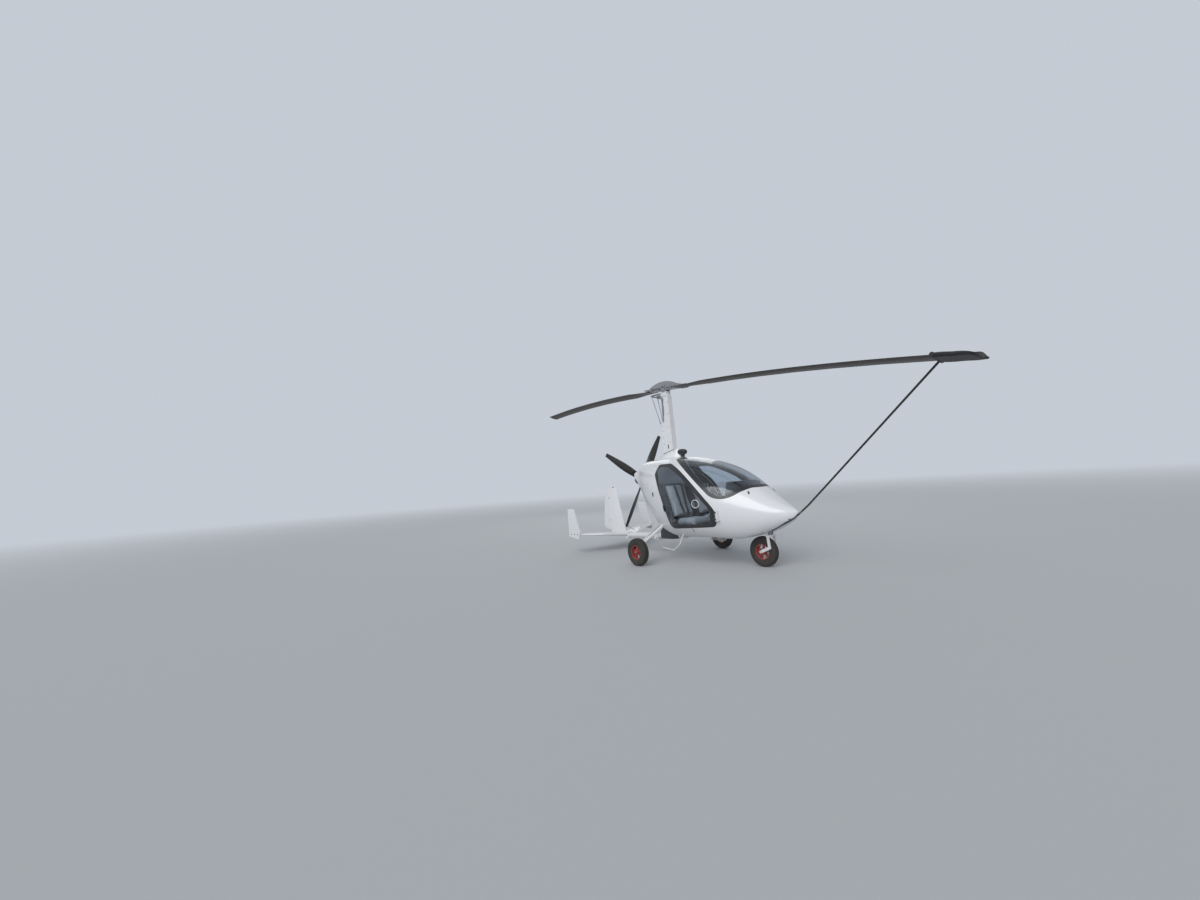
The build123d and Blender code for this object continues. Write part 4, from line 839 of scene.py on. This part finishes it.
for side, tag in SIDES:
    y = side * SEAT_Y
    shell = block("seat_shell_back", (-0.012, -0.200, -0.29), (0.012, 0.200, 0.29), edge=0.010)
    shell.data.transform(Matrix.Translation((0.332, y, 0.868)) @ Matrix.Rotation(BACK_LEAN, 4, "Y"))
    tray = block("seat_tray", (0.44, y - 0.200, 0.5455), (0.868, y + 0.200, 0.556), edge=0.004)
    give(join("seat_shell_" + tag, [shell, tray]), "airframe", "cabin_dark")
    shoulder = [(0.345, 1.135), (0.372, 1.10), (0.405, 0.98), (0.452, 0.82), (0.505, 0.690), (0.560, 0.648)]
    for offset in (-0.075, 0.075):
        route = [(x + 0.030, y + offset * (0.4 + 0.6 * (z - 0.6) / 0.55), z) for x, z in shoulder]
        label = "shoulder_belt_%s_%s" % (tag, "inner" if offset * side < 0 else "outer")
        give(band(label, route, 0.042, (0, 1, 0)), "airframe", "black_cloth", "webbing")
    lap = [(0.505, y - 0.195, 0.60), (0.52, y - 0.15, 0.655), (0.565, y - 0.05, 0.660),
           (0.565, y + 0.05, 0.660), (0.52, y + 0.15, 0.655), (0.505, y + 0.195, 0.60)]
    give(band("lap_belt_" + tag, lap, 0.044, (1, 0, 0.15)), "airframe", "black_cloth", "webbing")
    buckle = block("belt_buckle_" + tag, (0.535, y - 0.030, 0.655), (0.600, y + 0.030, 0.672), edge=0.006)
    give(buckle, "airframe", "steel_plain")

# %% [markdown]
# The panel under the windscreen has a hooded top, six round dials and a radio stack. The numbers on real
# dials are too small to read from outside, so ticks and pointers stand for them.

# %% Instrument panel
DIAL_RADIUS = 0.036
DIAL_TICKS = 12
# columns: y, z
DIALS = [(-0.20, 1.055), (-0.10, 1.065), (0.10, 1.065), (0.20, 1.055), (-0.15, 0.965), (0.15, 0.965)]


def hoop(name, radius, thickness, steps, around=10, **place):
    """A round ring of wire."""
    clear_selection()
    bpy.ops.mesh.primitive_torus_add(major_radius=radius, minor_radius=thickness, major_segments=steps,
                                     minor_segments=around, **place)
    return settle(bpy.context.object, name)


def on_panel(y, z):
    """Where a level line from the seats meets the panel, and the way the panel faces there."""
    _, spot, facing, _ = nodes["instrument_panel"].ray_cast(Vector((0.9, y, z)), Vector((1, 0, 0)))
    return spot, facing


hood = block("panel_hood", (1.285, -0.245, 1.112), (1.405, 0.245, 1.126), edge=0.006)
give(hood, "airframe", "cabin_dark")
panel_lean = on_panel(0.1, 1.0)[1].to_track_quat("Z", "Y").to_matrix().to_4x4()
bezels = []
faces = []
hands = []
for y, z in DIALS:
    place = Matrix.Translation(on_panel(y, z)[0]) @ panel_lean
    bezel = hoop("bezel", DIAL_RADIUS + 0.001, 0.004, 40)
    bezel.data.transform(place)
    bezels.append(bezel)
    glass = bar("dial", (0, 0, -0.002), (0, 0, 0.002), DIAL_RADIUS, sides=40, edge=0.0008)
    glass.data.transform(place)
    faces.append(glass)
    pointer = block("pointer", (-0.0012, -0.004, 0.002), (0.0012, 0.028, 0.0035), edge=0.0004)
    pointer.data.transform(place @ Matrix.Rotation(y * 14 + z * 5, 4, "Z"))
    hands.append(pointer)
    for tick in range(DIAL_TICKS):
        mark = block("tick", (-0.0008, 0.029, 0.002), (0.0008, 0.034, 0.003), edge=0.0003)
        mark.data.transform(place @ Matrix.Rotation(math.tau * tick / DIAL_TICKS, 4, "Z"))
        hands.append(mark)
give(join("dial_bezels", bezels), "airframe", "steel_plain")
give(join("dial_faces", faces), "airframe", "trim_black")
give(join("dial_marks", hands), "airframe", "body_white", "lever_white")
radios = []
for index in range(3):
    spot = on_panel(0.0, 0.96 + index * 0.055)[0]
    unit = block("radio", (-0.055, -0.022, -0.004), (0.055, 0.022, 0.006), edge=0.003)
    unit.data.transform(Matrix.Translation(spot) @ rotation("Z", 90) @ rotation("X", 90))
    radios.append(unit)
give(join("radio_stack", radios), "airframe", "trim_black")
print("dials:", len(DIALS))

# %% [markdown]
# Inside, the white shell is covered by a near-black sheet: painted shade, which stands in for the shade in
# the closed cabin. The sheet is made from the shell's own inner faces: those that look towards the middle of
# the pod, moved about a millimetre inwards and given a little thickness.

# %% Cabin shade sheet
SHADE_SHEET_MIDDLE = Vector((0.75, 0.0, 0.95))
SHADE_SHEET_GAP = 0.0012
# painted shade: a near-black sheet over the inner faces darkens the cabin as its shade would
shade_sheet = new_object("cabin_shade_sheet", nodes["cabin_shell"].data.copy())
pick_only(shade_sheet)
bpy.ops.mesh.customdata_custom_splitnormals_clear()
form = bmesh.new()
form.from_mesh(shade_sheet.data)
bmesh.ops.remove_doubles(form, verts=form.verts, dist=WELD)
outer = []
for face in form.faces:
    centre = face.calc_center_median()
    inward = SHADE_SHEET_MIDDLE - centre
    inward.x *= 0.35
    if face.normal.dot(inward.normalized()) < 0.35:
        outer.append(face)
bmesh.ops.delete(form, geom=outer, context="FACES")
form.to_mesh(shade_sheet.data)
form.free()
shade_sheet.data.update()
shift = [vertex.normal.copy() * SHADE_SHEET_GAP for vertex in shade_sheet.data.vertices]
for vertex, step in zip(shade_sheet.data.vertices, shift):
    vertex.co += step
skin_depth = shade_sheet.modifiers.new("depth", "SOLIDIFY")
skin_depth.thickness = 0.0008
skin_depth.offset = 1.0
apply_modifiers(shade_sheet)
give(shade_sheet, "airframe", "cabin_dark")
print("lining faces:", len(shade_sheet.data.polygons))

# %% [markdown]
# On the tunnel between the seats lie the long white lever for brake and rotor start and a short throttle.
# A dark tube crosses the cabin behind the windscreen from roof to sill, as the photograph shows.

# %% Cabin fittings
lever = pipe("white_lever", [(0.446, -0.10, 0.560), (0.56, -0.10, 0.575), (0.70, -0.10, 0.612),
                             (0.86, -0.095, 0.700)], 0.011)
give(lever, "airframe", "body_white", "lever_white")
grip = pipe("lever_grip", [(0.845, -0.0955, 0.690), (0.90, -0.094, 0.722), (0.955, -0.092, 0.752)], 0.016)
give(grip, "airframe", "rubber_black")
throttle = pipe("throttle_lever", [(0.62, 0.085, 0.50), (0.63, 0.085, 0.60), (0.66, 0.085, 0.70)], 0.008)
knob = bar("throttle_knob", (0.655, 0.085, 0.69), (0.675, 0.085, 0.735), 0.016, edge=0.006)
give(join("throttle", [throttle, knob]), "airframe", "cabin_dark")
brace = pipe("screen_brace", [(0.43, -0.12, 1.462), (0.62, -0.14, 1.395), (0.80, -0.17, 1.30),
                              (0.98, -0.20, 1.185)], 0.010)
give(brace, "airframe", "trim_black")
for side, tag in SIDES:
    y = side * SEAT_Y
    sleeve = pipe("stick_cuff_" + tag, [(0.98, y, 0.478), (0.98, y, 0.52), (0.98, y, 0.55)], 0.024)
    give(sleeve, "airframe", "rubber_black")
    trigger = block("stick_button_" + tag, (0.990, y - 0.008, 0.865), (1.006, y + 0.008, 0.905), edge=0.004)
    give(trigger, "airframe", "trim_black")

# %% [markdown]
# Each door pane has a round air vent with a tilted flap, and each door frame has a latch. Their places are
# found by level rays, so that they lie on the curved skin.

# %% Door fittings
def lay_on(piece, node_name, x, z, side, turned_by=Matrix()):
    """Lay a flat piece, made round the origin, on a solid's skin; returns the piece."""
    place, normal = on_skin(node_name, x, z, side)
    lying = Matrix.Translation(place) @ normal.to_track_quat("Z", "Y").to_matrix().to_4x4()
    piece.data.transform(lying @ turned_by)
    return piece


VENT_X = 1.045
VENT_Z = 0.862
FLAP_TURN = rotation("X", 14)
for side, tag in SIDES:
    body = "door_" + tag
    ring = hoop("vent_ring_" + tag, 0.052, 0.0065, 56, around=12)
    give(lay_on(ring, "door_pane_" + tag, VENT_X, VENT_Z, side), body, "bare_aluminium", "lever_white")
    flap = bar("vent_flap_" + tag, (0, 0, -0.001), (0, 0, 0.004), 0.046, sides=48, edge=0.001)
    give(lay_on(flap, "door_pane_" + tag, VENT_X, VENT_Z, side, FLAP_TURN), body, "clear_glazing")
    latch = block("door_latch_" + tag, (-0.014, -0.045, -0.002), (0.014, 0.045, 0.012), edge=0.005)
    give(lay_on(latch, "door_frame_" + tag, 0.436, 0.80, side), body, "trim_black")
print("vents at x", VENT_X, "and z", VENT_Z)

# %% [markdown]
# The pod's surface is broken by little: an oval hatch behind the door, quarter-turn fasteners along the
# cowl seam, a slot in the sill, a clip at the screen and a small probe at the nose. Rays find the skin.

# %% Pod fittings
OVAL = Matrix.Diagonal((0.7, 1.2, 1, 1))
UPRIGHT = rotation("Z", 90)
for side, tag in SIDES:
    hatch = bar("side_hatch_" + tag, (0, 0, -0.002), (0, 0, 0.002), 0.030, sides=40, edge=0.001)
    give(lay_on(hatch, "cabin_shell", 0.150, 1.000, side, OVAL), "airframe", "trim_black")
    places = []
    for index in range(6):
        x = -0.02 - 0.105 * index
        places += [("cowl_upper", x, 1.160), ("cowl_lower", x, 1.100)]
    for index in range(4):
        places += [("cowl_upper", 0.035, 1.22 + 0.07 * index), ("cowl_lower", 0.035, 0.72 + 0.09 * index)]
    studs = []
    for cowl, x, z in places:
        stud = bar("stud", (0, 0, -0.001), (0, 0, 0.0018), 0.0075, sides=16, edge=0.0006)
        studs.append(lay_on(stud, cowl, x, z, side))
    give(join("cowl_fasteners_" + tag, studs), "airframe", "steel_plain")
    sill = block("sill_slot_" + tag, (-0.030, -0.006, -0.003), (0.030, 0.006, 0.0015), edge=0.002)
    give(lay_on(sill, "cabin_shell", 0.87, 0.493, side, UPRIGHT), "airframe", "trim_black")
    clip = block("screen_clip_" + tag, (-0.010, -0.022, -0.002), (0.010, 0.022, 0.008), edge=0.003)
    give(lay_on(clip, "cabin_shell", 1.646, 0.975, side), "airframe", "trim_black")
probe = pipe("air_probe", [(2.045, -0.085, 0.640), (2.06, -0.105, 0.632), (2.12, -0.112, 0.632)], 0.004)
give(probe, "airframe", "trim_black")

# %% [markdown]
# Under the tail end of the pod the engine bay is open. A dark block over the keel is painted shade that
# fills that shaded gap; a silencer and its pipes sit in it, and the cylinder heads and the radiator's slats
# show from behind.

# %% Engine bay
# columns: x, half width, low, high
SHADE_BLOCK_SECTIONS = [
    (-0.320, 0.040, 0.266, 0.352), (-0.290, 0.058, 0.258, 0.400), (-0.200, 0.064, 0.258, 0.470),
    (-0.050, 0.066, 0.262, 0.490), (0.060, 0.062, 0.272, 0.480), (0.090, 0.045, 0.285, 0.460),
]
# painted shade: this dark block stands in for the shade in the open bay under the cowl
clear_selection()
bpy.ops.mesh.primitive_plane_add(size=1, location=(0, 0, 0))
shade_block = settle(bpy.context.object, "keel_shade_block")
bpy.ops.object.mode_set(mode="EDIT")
form = bmesh.from_edit_mesh(shade_block.data)
form.faces.ensure_lookup_table()
x, half, low, high = SHADE_BLOCK_SECTIONS[0]
corners = ((-half, low), (half, low), (half, high), (-half, high))
for vertex, (y, z) in zip(form.faces[0].verts, corners):
    vertex.co = Vector((x, y, z))
bmesh.update_edit_mesh(shade_block.data)
bpy.ops.mesh.select_all(action="SELECT")
for x, half, low, high in SHADE_BLOCK_SECTIONS[1:]:
    bpy.ops.mesh.extrude_region_move()
    form = bmesh.from_edit_mesh(shade_block.data)
    moving = [vertex for vertex in form.verts if vertex.select]
    middle_z = sum(vertex.co.z for vertex in moving) / len(moving)
    for vertex in moving:
        vertex.co = Vector((x, math.copysign(half, vertex.co.y), low if vertex.co.z < middle_z else high))
    bmesh.update_edit_mesh(shade_block.data)
bpy.ops.mesh.select_all(action="SELECT")
bpy.ops.mesh.normals_make_consistent(inside=False)
bpy.ops.object.mode_set(mode="OBJECT")
round_edges(shade_block, 0.014, segments=3, angle=50)
give(shade_block, "airframe", "cabin_dark", smooth=50)
silencer = bar("silencer", (-0.150, -0.180, 0.800), (-0.150, 0.180, 0.800), 0.062, sides=36, edge=0.012)
give(silencer, "airframe", "steel_plain")
for side, tag in SIDES:
    down = pipe("exhaust_pipe_" + tag, [(-0.06, side * 0.175, 0.935), (-0.06, side * 0.20, 0.86),
                                        (-0.09, side * 0.19, 0.80), (-0.15, side * 0.150, 0.80)], 0.019)
    give(down, "airframe", "steel_plain")
    heads = []
    for x in (-0.24, -0.08):
        heads.append(block("head", (x - 0.060, side * 0.183, 1.02), (x + 0.060, side * 0.262, 1.16),
                           edge=0.010))
        for fin_index in range(5):
            z = 1.035 + fin_index * 0.026
            heads.append(block("fin", (x - 0.066, side * 0.185, z), (x + 0.066, side * 0.272, z + 0.006),
                               edge=0.001))
    give(join("cylinder_heads_" + tag, heads), "airframe", "engine_metal")
tail_pipe = pipe("tail_pipe", [(-0.16, 0.10, 0.80), (-0.22, 0.13, 0.78), (-0.30, 0.14, 0.735)], 0.021)
give(tail_pipe, "airframe", "steel_plain")
slats = []
for index in range(9):
    z = 1.36 + index * 0.012
    slats.append(block("slat", (-0.345, -0.14, z), (-0.325, 0.14, z + 0.005), edge=0.001))
give(join("radiator_slats", slats), "airframe", "engine_metal")
intake = pipe("intake_hose", [(-0.30, 0.11, 1.335), (-0.30, 0.12, 1.39), (-0.20, 0.12, 1.405),
                              (-0.06, 0.10, 1.345)], 0.024)
give(intake, "airframe", "rubber_black")

# %% [markdown]
# The mast is a smooth fairing. It shows a short slot on its side, and small dark screws along both edges
# and along the seam of the foot fairing.

# %% Mast fittings
# columns: x, z
MAST_SCREWS = [(-0.062, 1.78), (-0.066, 1.90), (-0.080, 2.00), (-0.098, 2.075), (0.085, 1.80), (0.082, 2.05),
               (0.080, 2.25), (0.078, 2.45)]
FOOT_X = -0.11
FOOT_Z = 1.590
FOOT_SLOPE = 0.21
for side, tag in SIDES:
    cut = block("mast_slot_" + tag, (-0.010, -0.034, -0.003), (0.010, 0.034, 0.0015), edge=0.002)
    give(lay_on(cut, "mast", 0.028, 1.735, side), "airframe", "trim_black")
    places = [("mast", x, z) for x, z in MAST_SCREWS]
    for index in range(5):
        along = 0.065 * index
        places.append(("mast_fairing", FOOT_X + along, FOOT_Z + FOOT_SLOPE * along))
    screws = []
    for solid_name, x, z in places:
        screw = bar("screw", (0, 0, -0.001), (0, 0, 0.0022), 0.0065, sides=16, edge=0.0007)
        screws.append(lay_on(screw, solid_name, x, z, side))
    give(join("mast_screws_" + tag, screws), "airframe", "steel_plain", "engine_metal")

# %% [markdown]
# The rotor head is where most of the work sits: cheek plates and the teeter bolt, stops, the hub bar with
# its clamp plates, and two rows of bolts into each blade. They are built in the rotor's own frame, blades
# along X, and then turned to the parked angle with one matrix.

# %% Rotor hub
ROTOR_TILT = math.radians(5.4)
ROTOR_PARK = math.radians(-3.0)
HUB_PLACE = Vector((0.193 * math.sin(ROTOR_TILT), 0.0, 2.695))
HUB_TOP = 0.0005
HUB_UNDERSIDE = -0.0455
head_frame = Matrix.Translation(HUB_PLACE) @ Matrix.Rotation(ROTOR_TILT, 4, "Y")
rotor_frame = head_frame @ Matrix.Rotation(ROTOR_PARK, 4, "Z")


def on_rotor(piece):
    piece.data.transform(rotor_frame)
    return piece


def rotor_bolts(name, places, direction, size):
    """Bolts given in the rotor's own frame."""
    facing = rotor_frame.to_3x3() @ Vector(direction)
    bolts(name, [rotor_frame @ Vector(place) for place in places], facing, size, "rotor")


def rotor_block(name, end, near, far, low, high, edge):
    """A block between two radii on one end of the rotor; low and high are its (y, z) corners."""
    first_x, last_x = sorted((end * near, end * far))
    return block(name, (first_x, *low), (last_x, *high), edge=edge)


plates = []
ribs = []
stops = []
rows = []
for end in (-1, 1):
    plates.append(rotor_block("clamp", end, 0.318, 0.520, (-0.038, HUB_TOP), (0.038, HUB_TOP + 0.008), 0.002))
    plates.append(rotor_block("clamp", end, 0.352, 0.520, (-0.038, HUB_UNDERSIDE),
                              (0.038, HUB_UNDERSIDE + 0.008), 0.002))
    for y in (-0.046, 0.0445):
        ribs.append(rotor_block("rib", end, 0.06, 0.32, (y, -0.034), (y + 0.0015, 0.012), 0.0005))
    stops.append(rotor_block("stop", end, 0.020, 0.040, (-0.040, -0.0445), (0.040, -0.041), 0.001))
    for x in (0.372, 0.402, 0.432, 0.462, 0.492):
        for y in (-0.022, 0.022):
            rows.append((end * x, y, HUB_TOP + 0.008))
give(on_rotor(join("blade_clamps", plates)), "rotor", "bare_aluminium", "steel_plain")
rotor_bolts("blade_bolts_top", rows, (0, 0, 1), 0.0065)
rotor_bolts("blade_bolts_under", [(x, y, HUB_UNDERSIDE) for x, y, z in rows], (0, 0, -1), 0.0065)
rotor_bolts("teeter_bolt_left", [(0, -0.066, 0.012)], (0, -1, 0), 0.014)
rotor_bolts("teeter_bolt_right", [(0, 0.066, 0.012)], (0, 1, 0), 0.014)
side_bolts = [(x, -0.046, -0.012) for x in (-0.30, -0.24, -0.18, -0.12, 0.12, 0.18, 0.24, 0.30)]
rotor_bolts("hub_bolts_left", side_bolts, (0, -1, 0), 0.0075)
rotor_bolts("hub_bolts_right", [(x, 0.046, z) for x, y, z in side_bolts], (0, 1, 0), 0.0075)
give(on_rotor(join("hub_cheek_plates", ribs)), "rotor", "bare_aluminium")
give(on_rotor(join("teeter_stops", stops)), "rotor", "rubber_black")

# %% [markdown]
# At rest the rotor disc leans sideways and the blades keep their own pitch, so both show more of their
# undersides than level blades would. The lean is laid in here as a turn of each blade about its own line.
# A thin leading-edge strip of bare metal follows the same droop and the same turn.

# %% Blade strips
BLADE_Z = -0.029
DROOP = 0.193
STRAIGHT = 0.700
TIP = 4.176
LEAN_START = 0.53
LEAN_FULL = 0.85
BLADE_LEAN = {1: math.radians(-9.0), -1: math.radians(-16.0)}
STRIP_RADII = (0.90, 1.3, 1.8, 2.3, 2.8, 3.3)
STRIP_END = {1: 3.79, -1: 4.15}


def droop(radius):
    """How far the parked blade hangs below its straight root."""
    share = max(0.0, radius - STRAIGHT) / (TIP - STRAIGHT)
    return DROOP * share * share


def leaned(point):
    """A point of the level blade, turned about the blade's own line; the root stays level in its clamp."""
    radius = abs(point.x)
    share = min(1.0, max(0.0, (radius - LEAN_START) / (LEAN_FULL - LEAN_START)))
    angle = BLADE_LEAN[1 if point.x > 0 else -1] * share
    line_z = BLADE_Z - droop(radius)
    up = point.z - line_z
    return Vector((point.x, point.y * math.cos(angle) - up * math.sin(angle),
                   line_z + point.y * math.sin(angle) + up * math.cos(angle)))


to_rotor = rotor_frame.inverted()
strips = []
for end, tag in ((1, "fore"), (-1, "aft")):
    solid = nodes["rotor_blade_" + tag]
    blade = new_object("leaned_blade_" + tag, solid.data.copy())
    pick_only(blade)
    bpy.ops.mesh.customdata_custom_splitnormals_clear()
    for vertex in blade.data.vertices:
        vertex.co = rotor_frame @ leaned(to_rotor @ vertex.co)
    give(blade, "rotor", "rotor_dark")
    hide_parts("rotor_blade_" + tag)
for end in (-1, 1):
    line = [leaned(Vector((end * radius, end * 0.0572, BLADE_Z - droop(radius))))
            for radius in STRIP_RADII + (STRIP_END[end],)]
    strips.append(band("strip", line, 0.004, (0, 1, 0), thickness=0.006))
give(on_rotor(join("blade_edge_strips", strips)), "rotor", "bare_aluminium", "strip_metal")

# %% [markdown]
# A padded sock is pulled over the tip of the fore blade, and a flat strap runs from it down to the nose
# gear, which keeps the parked rotor still. The sock is simulated as a soft bag round the blade.

# %% Blade sock
SOCK_INNER = 3.806
SOCK_OUTER = 4.184
SOCK_HALF_WIDTH = 0.118
SOCK_VOXEL = 0.006
sock_length = SOCK_OUTER - SOCK_INNER
sock_half = sock_length / 2
sock_slope = math.atan((droop(4.15) - droop(3.81)) / 0.34)
sock = block("blade_sock_cover", (-sock_half, -SOCK_HALF_WIDTH, -0.020), (sock_half, SOCK_HALF_WIDTH, 0.020),
             edge=0.012)
remesh(sock, SOCK_VOXEL)
for vertex in sock.data.vertices:
    share = (vertex.co.x + sock_half) / sock_length
    vertex.co.z *= 1.0 - 0.45 * share
    cut = max(0.0, (share - 0.72) / 0.28)
    near_edge = -SOCK_HALF_WIDTH + 0.150 * cut * cut
    across = (vertex.co.y + SOCK_HALF_WIDTH) / (2 * SOCK_HALF_WIDTH)
    vertex.co.y = near_edge + across * (SOCK_HALF_WIDTH - near_edge)
puff(sock, 0.006, pressure=1.5)
for vertex in sock.data.vertices:
    vertex.co.z += 0.0012 * math.sin(vertex.co.x * 38 + vertex.co.y * 9)
sock_middle = (SOCK_INNER + SOCK_OUTER) / 2
sock_line = Matrix.Translation((sock_middle, 0.0, BLADE_Z - droop(sock_middle)))
sock_place = (sock_line @ Matrix.Rotation(BLADE_LEAN[1], 4, "X") @ Matrix.Translation((0, -0.045, 0)) @
              Matrix.Rotation(sock_slope, 4, "Y"))
sock.data.transform(rotor_frame @ sock_place)
give(sock, "rotor", "black_cloth", smooth=80)
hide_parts("blade_sock")
print("sock faces:", len(sock.data.polygons))

cuff = block("sock_cuff", (-0.178, -0.121, -0.0245), (-0.150, 0.121, 0.0245), edge=0.008)
cuff.data.transform(sock_place)
give(on_rotor(cuff), "rotor", "black_cloth", "webbing")

# %% [markdown]
# The strap is taut, so it is a straight flat band. It starts on the sock, touches the nose, follows the
# belly's curve and ends in a loop at the fork. It hangs on two bodies; the straight run is attached to
# neither, and the part under the nose and the loop ride on the airframe.

# %% Tie-down strap
STRAP_LINE = [(3.826, -0.201, 2.141), (3.40, -0.155, 1.766), (3.00, -0.112, 1.414), (2.60, -0.068, 1.062),
              (2.30, -0.036, 0.799), (2.132, -0.024, 0.668)]
strap = band("tie_down_strap", STRAP_LINE, 0.021, (0.55, 0.50, -0.60), thickness=0.003)
strap.data.materials.append(finishes["webbing"])
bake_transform(strap)

# columns: x, y of the strap's middle on the nose's lower side
UNDER_PATH = [(2.122, -0.022), (2.10, -0.036), (2.06, -0.062), (2.01, -0.085), (1.96, -0.090), (1.90, -0.085),
              (1.84, -0.070), (1.79, -0.045)]
UNDER_HALF = 0.020
# columns: height over the skin, the order of the two edges there
UNDER_LAYERS = [(0.0065, (-UNDER_HALF, UNDER_HALF)), (0.0010, (UNDER_HALF, -UNDER_HALF))]
rows = []
for x, y in UNDER_PATH:
    row = []
    share = min(1.0, (2.18 - x) / 0.16)
    for lift, edges in UNDER_LAYERS:
        for offset in edges:
            start = Vector((x, y + offset * share, 0.2))
            _, spot, facing, _ = nodes["cabin_shell"].ray_cast(start, Vector((0, 0, 1)))
            row.append(spot + facing * lift)
    rows.append(row)
give(long_solid("tie_down_strap_lower", rows), "airframe", "black_cloth", "webbing")
loop = band("strap_fork_loop", [(1.795, -0.045, 0.470), (1.783, -0.048, 0.452), (1.771, -0.051, 0.434)],
            0.024, (0, 0.4, 0.9), thickness=0.003)
give(loop, "airframe", "black_cloth", "webbing")
buckle = block("strap_buckle", (-0.020, -0.018, -0.006), (0.020, 0.018, 0.006), edge=0.002)
buckle.data.transform(Matrix.Translation((2.188, -0.023, 0.715)) @ rotation("Y", -41))
give(buckle, "airframe", "steel_plain")

# %% [markdown]
# Two struts brace the yoke behind the head, the push rods end in round rod ends, and a bright ring gear
# with its small pinion starts the rotor before take-off.

# %% Head fittings
# columns: x, half of the distance between the rods, z
ROD_ENDS = [(-0.262, 0.062, 2.606), (-0.122, 0.031, 2.122)]
ends = []
struts = []
for side in (-1, 1):
    for x, half, z in ROD_ENDS:
        ends.append(hoop("rod_end", 0.010, 0.0045, 24, location=(x, side * half, z),
                         rotation=(math.radians(90), 0, 0)))
    strut = block("yoke_strut", (-0.105, -0.004, -0.010), (0.105, 0.004, 0.010), edge=0.003)
    strut.data.transform(Matrix.Translation((-0.145, side * 0.062, 2.560)) @ rotation("Y", 20))
    struts.append(strut)
give(join("rod_ends", ends), "airframe", "steel_plain")
gear = turned("ring_gear", [(-0.004, 0.060), (-0.004, 0.078), (0.004, 0.078), (0.004, 0.060)], (0, 0, 0),
              steps=72)
gear.data.transform(head_frame @ Matrix.Translation((0, 0, -0.051)) @ rotation("X", 90))
give(gear, "rotor", "steel_plain")
pinion = bar("pinion", (-0.090, 0.0, 2.598), (-0.090, 0.0, 2.632), 0.014, sides=18)
give(pinion, "airframe", "steel_plain")
cable = pipe("head_cable", [(-0.07, 0.03, 2.592), (-0.13, 0.05, 2.50), (-0.10, 0.045, 2.34),
                            (-0.120, 0.030, 2.19), (-0.128, 0.02, 2.125)], 0.004)
give(cable, "airframe", "rubber_black")
give(join("yoke_struts", struts), "airframe", "steel_plain")

# %% [markdown]
# The propeller has four ground-adjustable blades. A ring of bolts holds them on the hub, and each blade
# stands in a bright collar that can be turned when the machine is parked.

# %% Propeller fittings
PROP_PLACE = Vector((-0.700, 0.0, 1.235))
PROP_PARK = -59.5
BLADES = 4
HUB_BOLTS = 8
HUB_BOLT_CIRCLE = 0.052
turns = [math.tau * index / HUB_BOLTS for index in range(HUB_BOLTS)]
ring = [PROP_PLACE + Vector((0.036, HUB_BOLT_CIRCLE * math.cos(turn), HUB_BOLT_CIRCLE * math.sin(turn)))
        for turn in turns]
bolts("hub_ring_bolts", ring, (1, 0, 0), 0.006, "propeller")
collars = []
for index in range(BLADES):
    angle = math.radians(-(PROP_PARK + index * 360 / BLADES))
    root = bar("blade_collar", (0, 0, 0.066), (0, 0, 0.094), 0.034, sides=28, edge=0.005)
    root.data.transform(Matrix.Translation(PROP_PLACE) @ Matrix.Rotation(angle, 4, "X"))
    collars.append(root)
give(join("blade_collars", collars), "propeller", "bare_aluminium")

# %% [markdown]
# The tail is bare and white. The rudder has a horn and a push rod, the fins are bolted to the stabiliser's
# tips, and a small red lamp sits at the top of the fin.

# %% Tail fittings
# columns: x, z over the keel's middle
GUSSET_BOLTS = [(-0.41, 0.045), (-0.41, -0.045), (-0.48, 0.028), (-0.48, -0.028), (-0.54, 0.0)]
horn = block("rudder_horn", (-1.795, 0.016, 0.555), (-1.728, 0.095, 0.563), edge=0.002)
give(horn, "rudder", "steel_plain")
rod = pipe("rudder_rod", [(-1.722, 0.118, 0.545), (-1.45, 0.110, 0.430), (-1.15, 0.085, 0.345)], 0.005)
give(rod, "airframe", "steel_plain")
lamp = bar("fin_lamp", (-1.60, 0, 1.118), (-1.60, 0, 1.140), 0.014, sides=24, edge=0.006)
give(lamp, "airframe", "rim_red")
for side, tag in SIDES:
    places = [(x, side * 0.8505, 0.345) for x in (-1.60, -1.70, -1.80)]
    bolts("tip_fin_bolts_" + tag, places, (0, side, 0), 0.007, "airframe")
    places = [(x, side * 0.058, 0.300 + up) for x, up in GUSSET_BOLTS]
    bolts("gusset_bolts_" + tag, places, (0, side, 0), 0.008, "airframe")
bolts("collar_bolts", [(-1.215, -0.054, 0.2605)], (0, -1, 0), 0.009, "airframe")
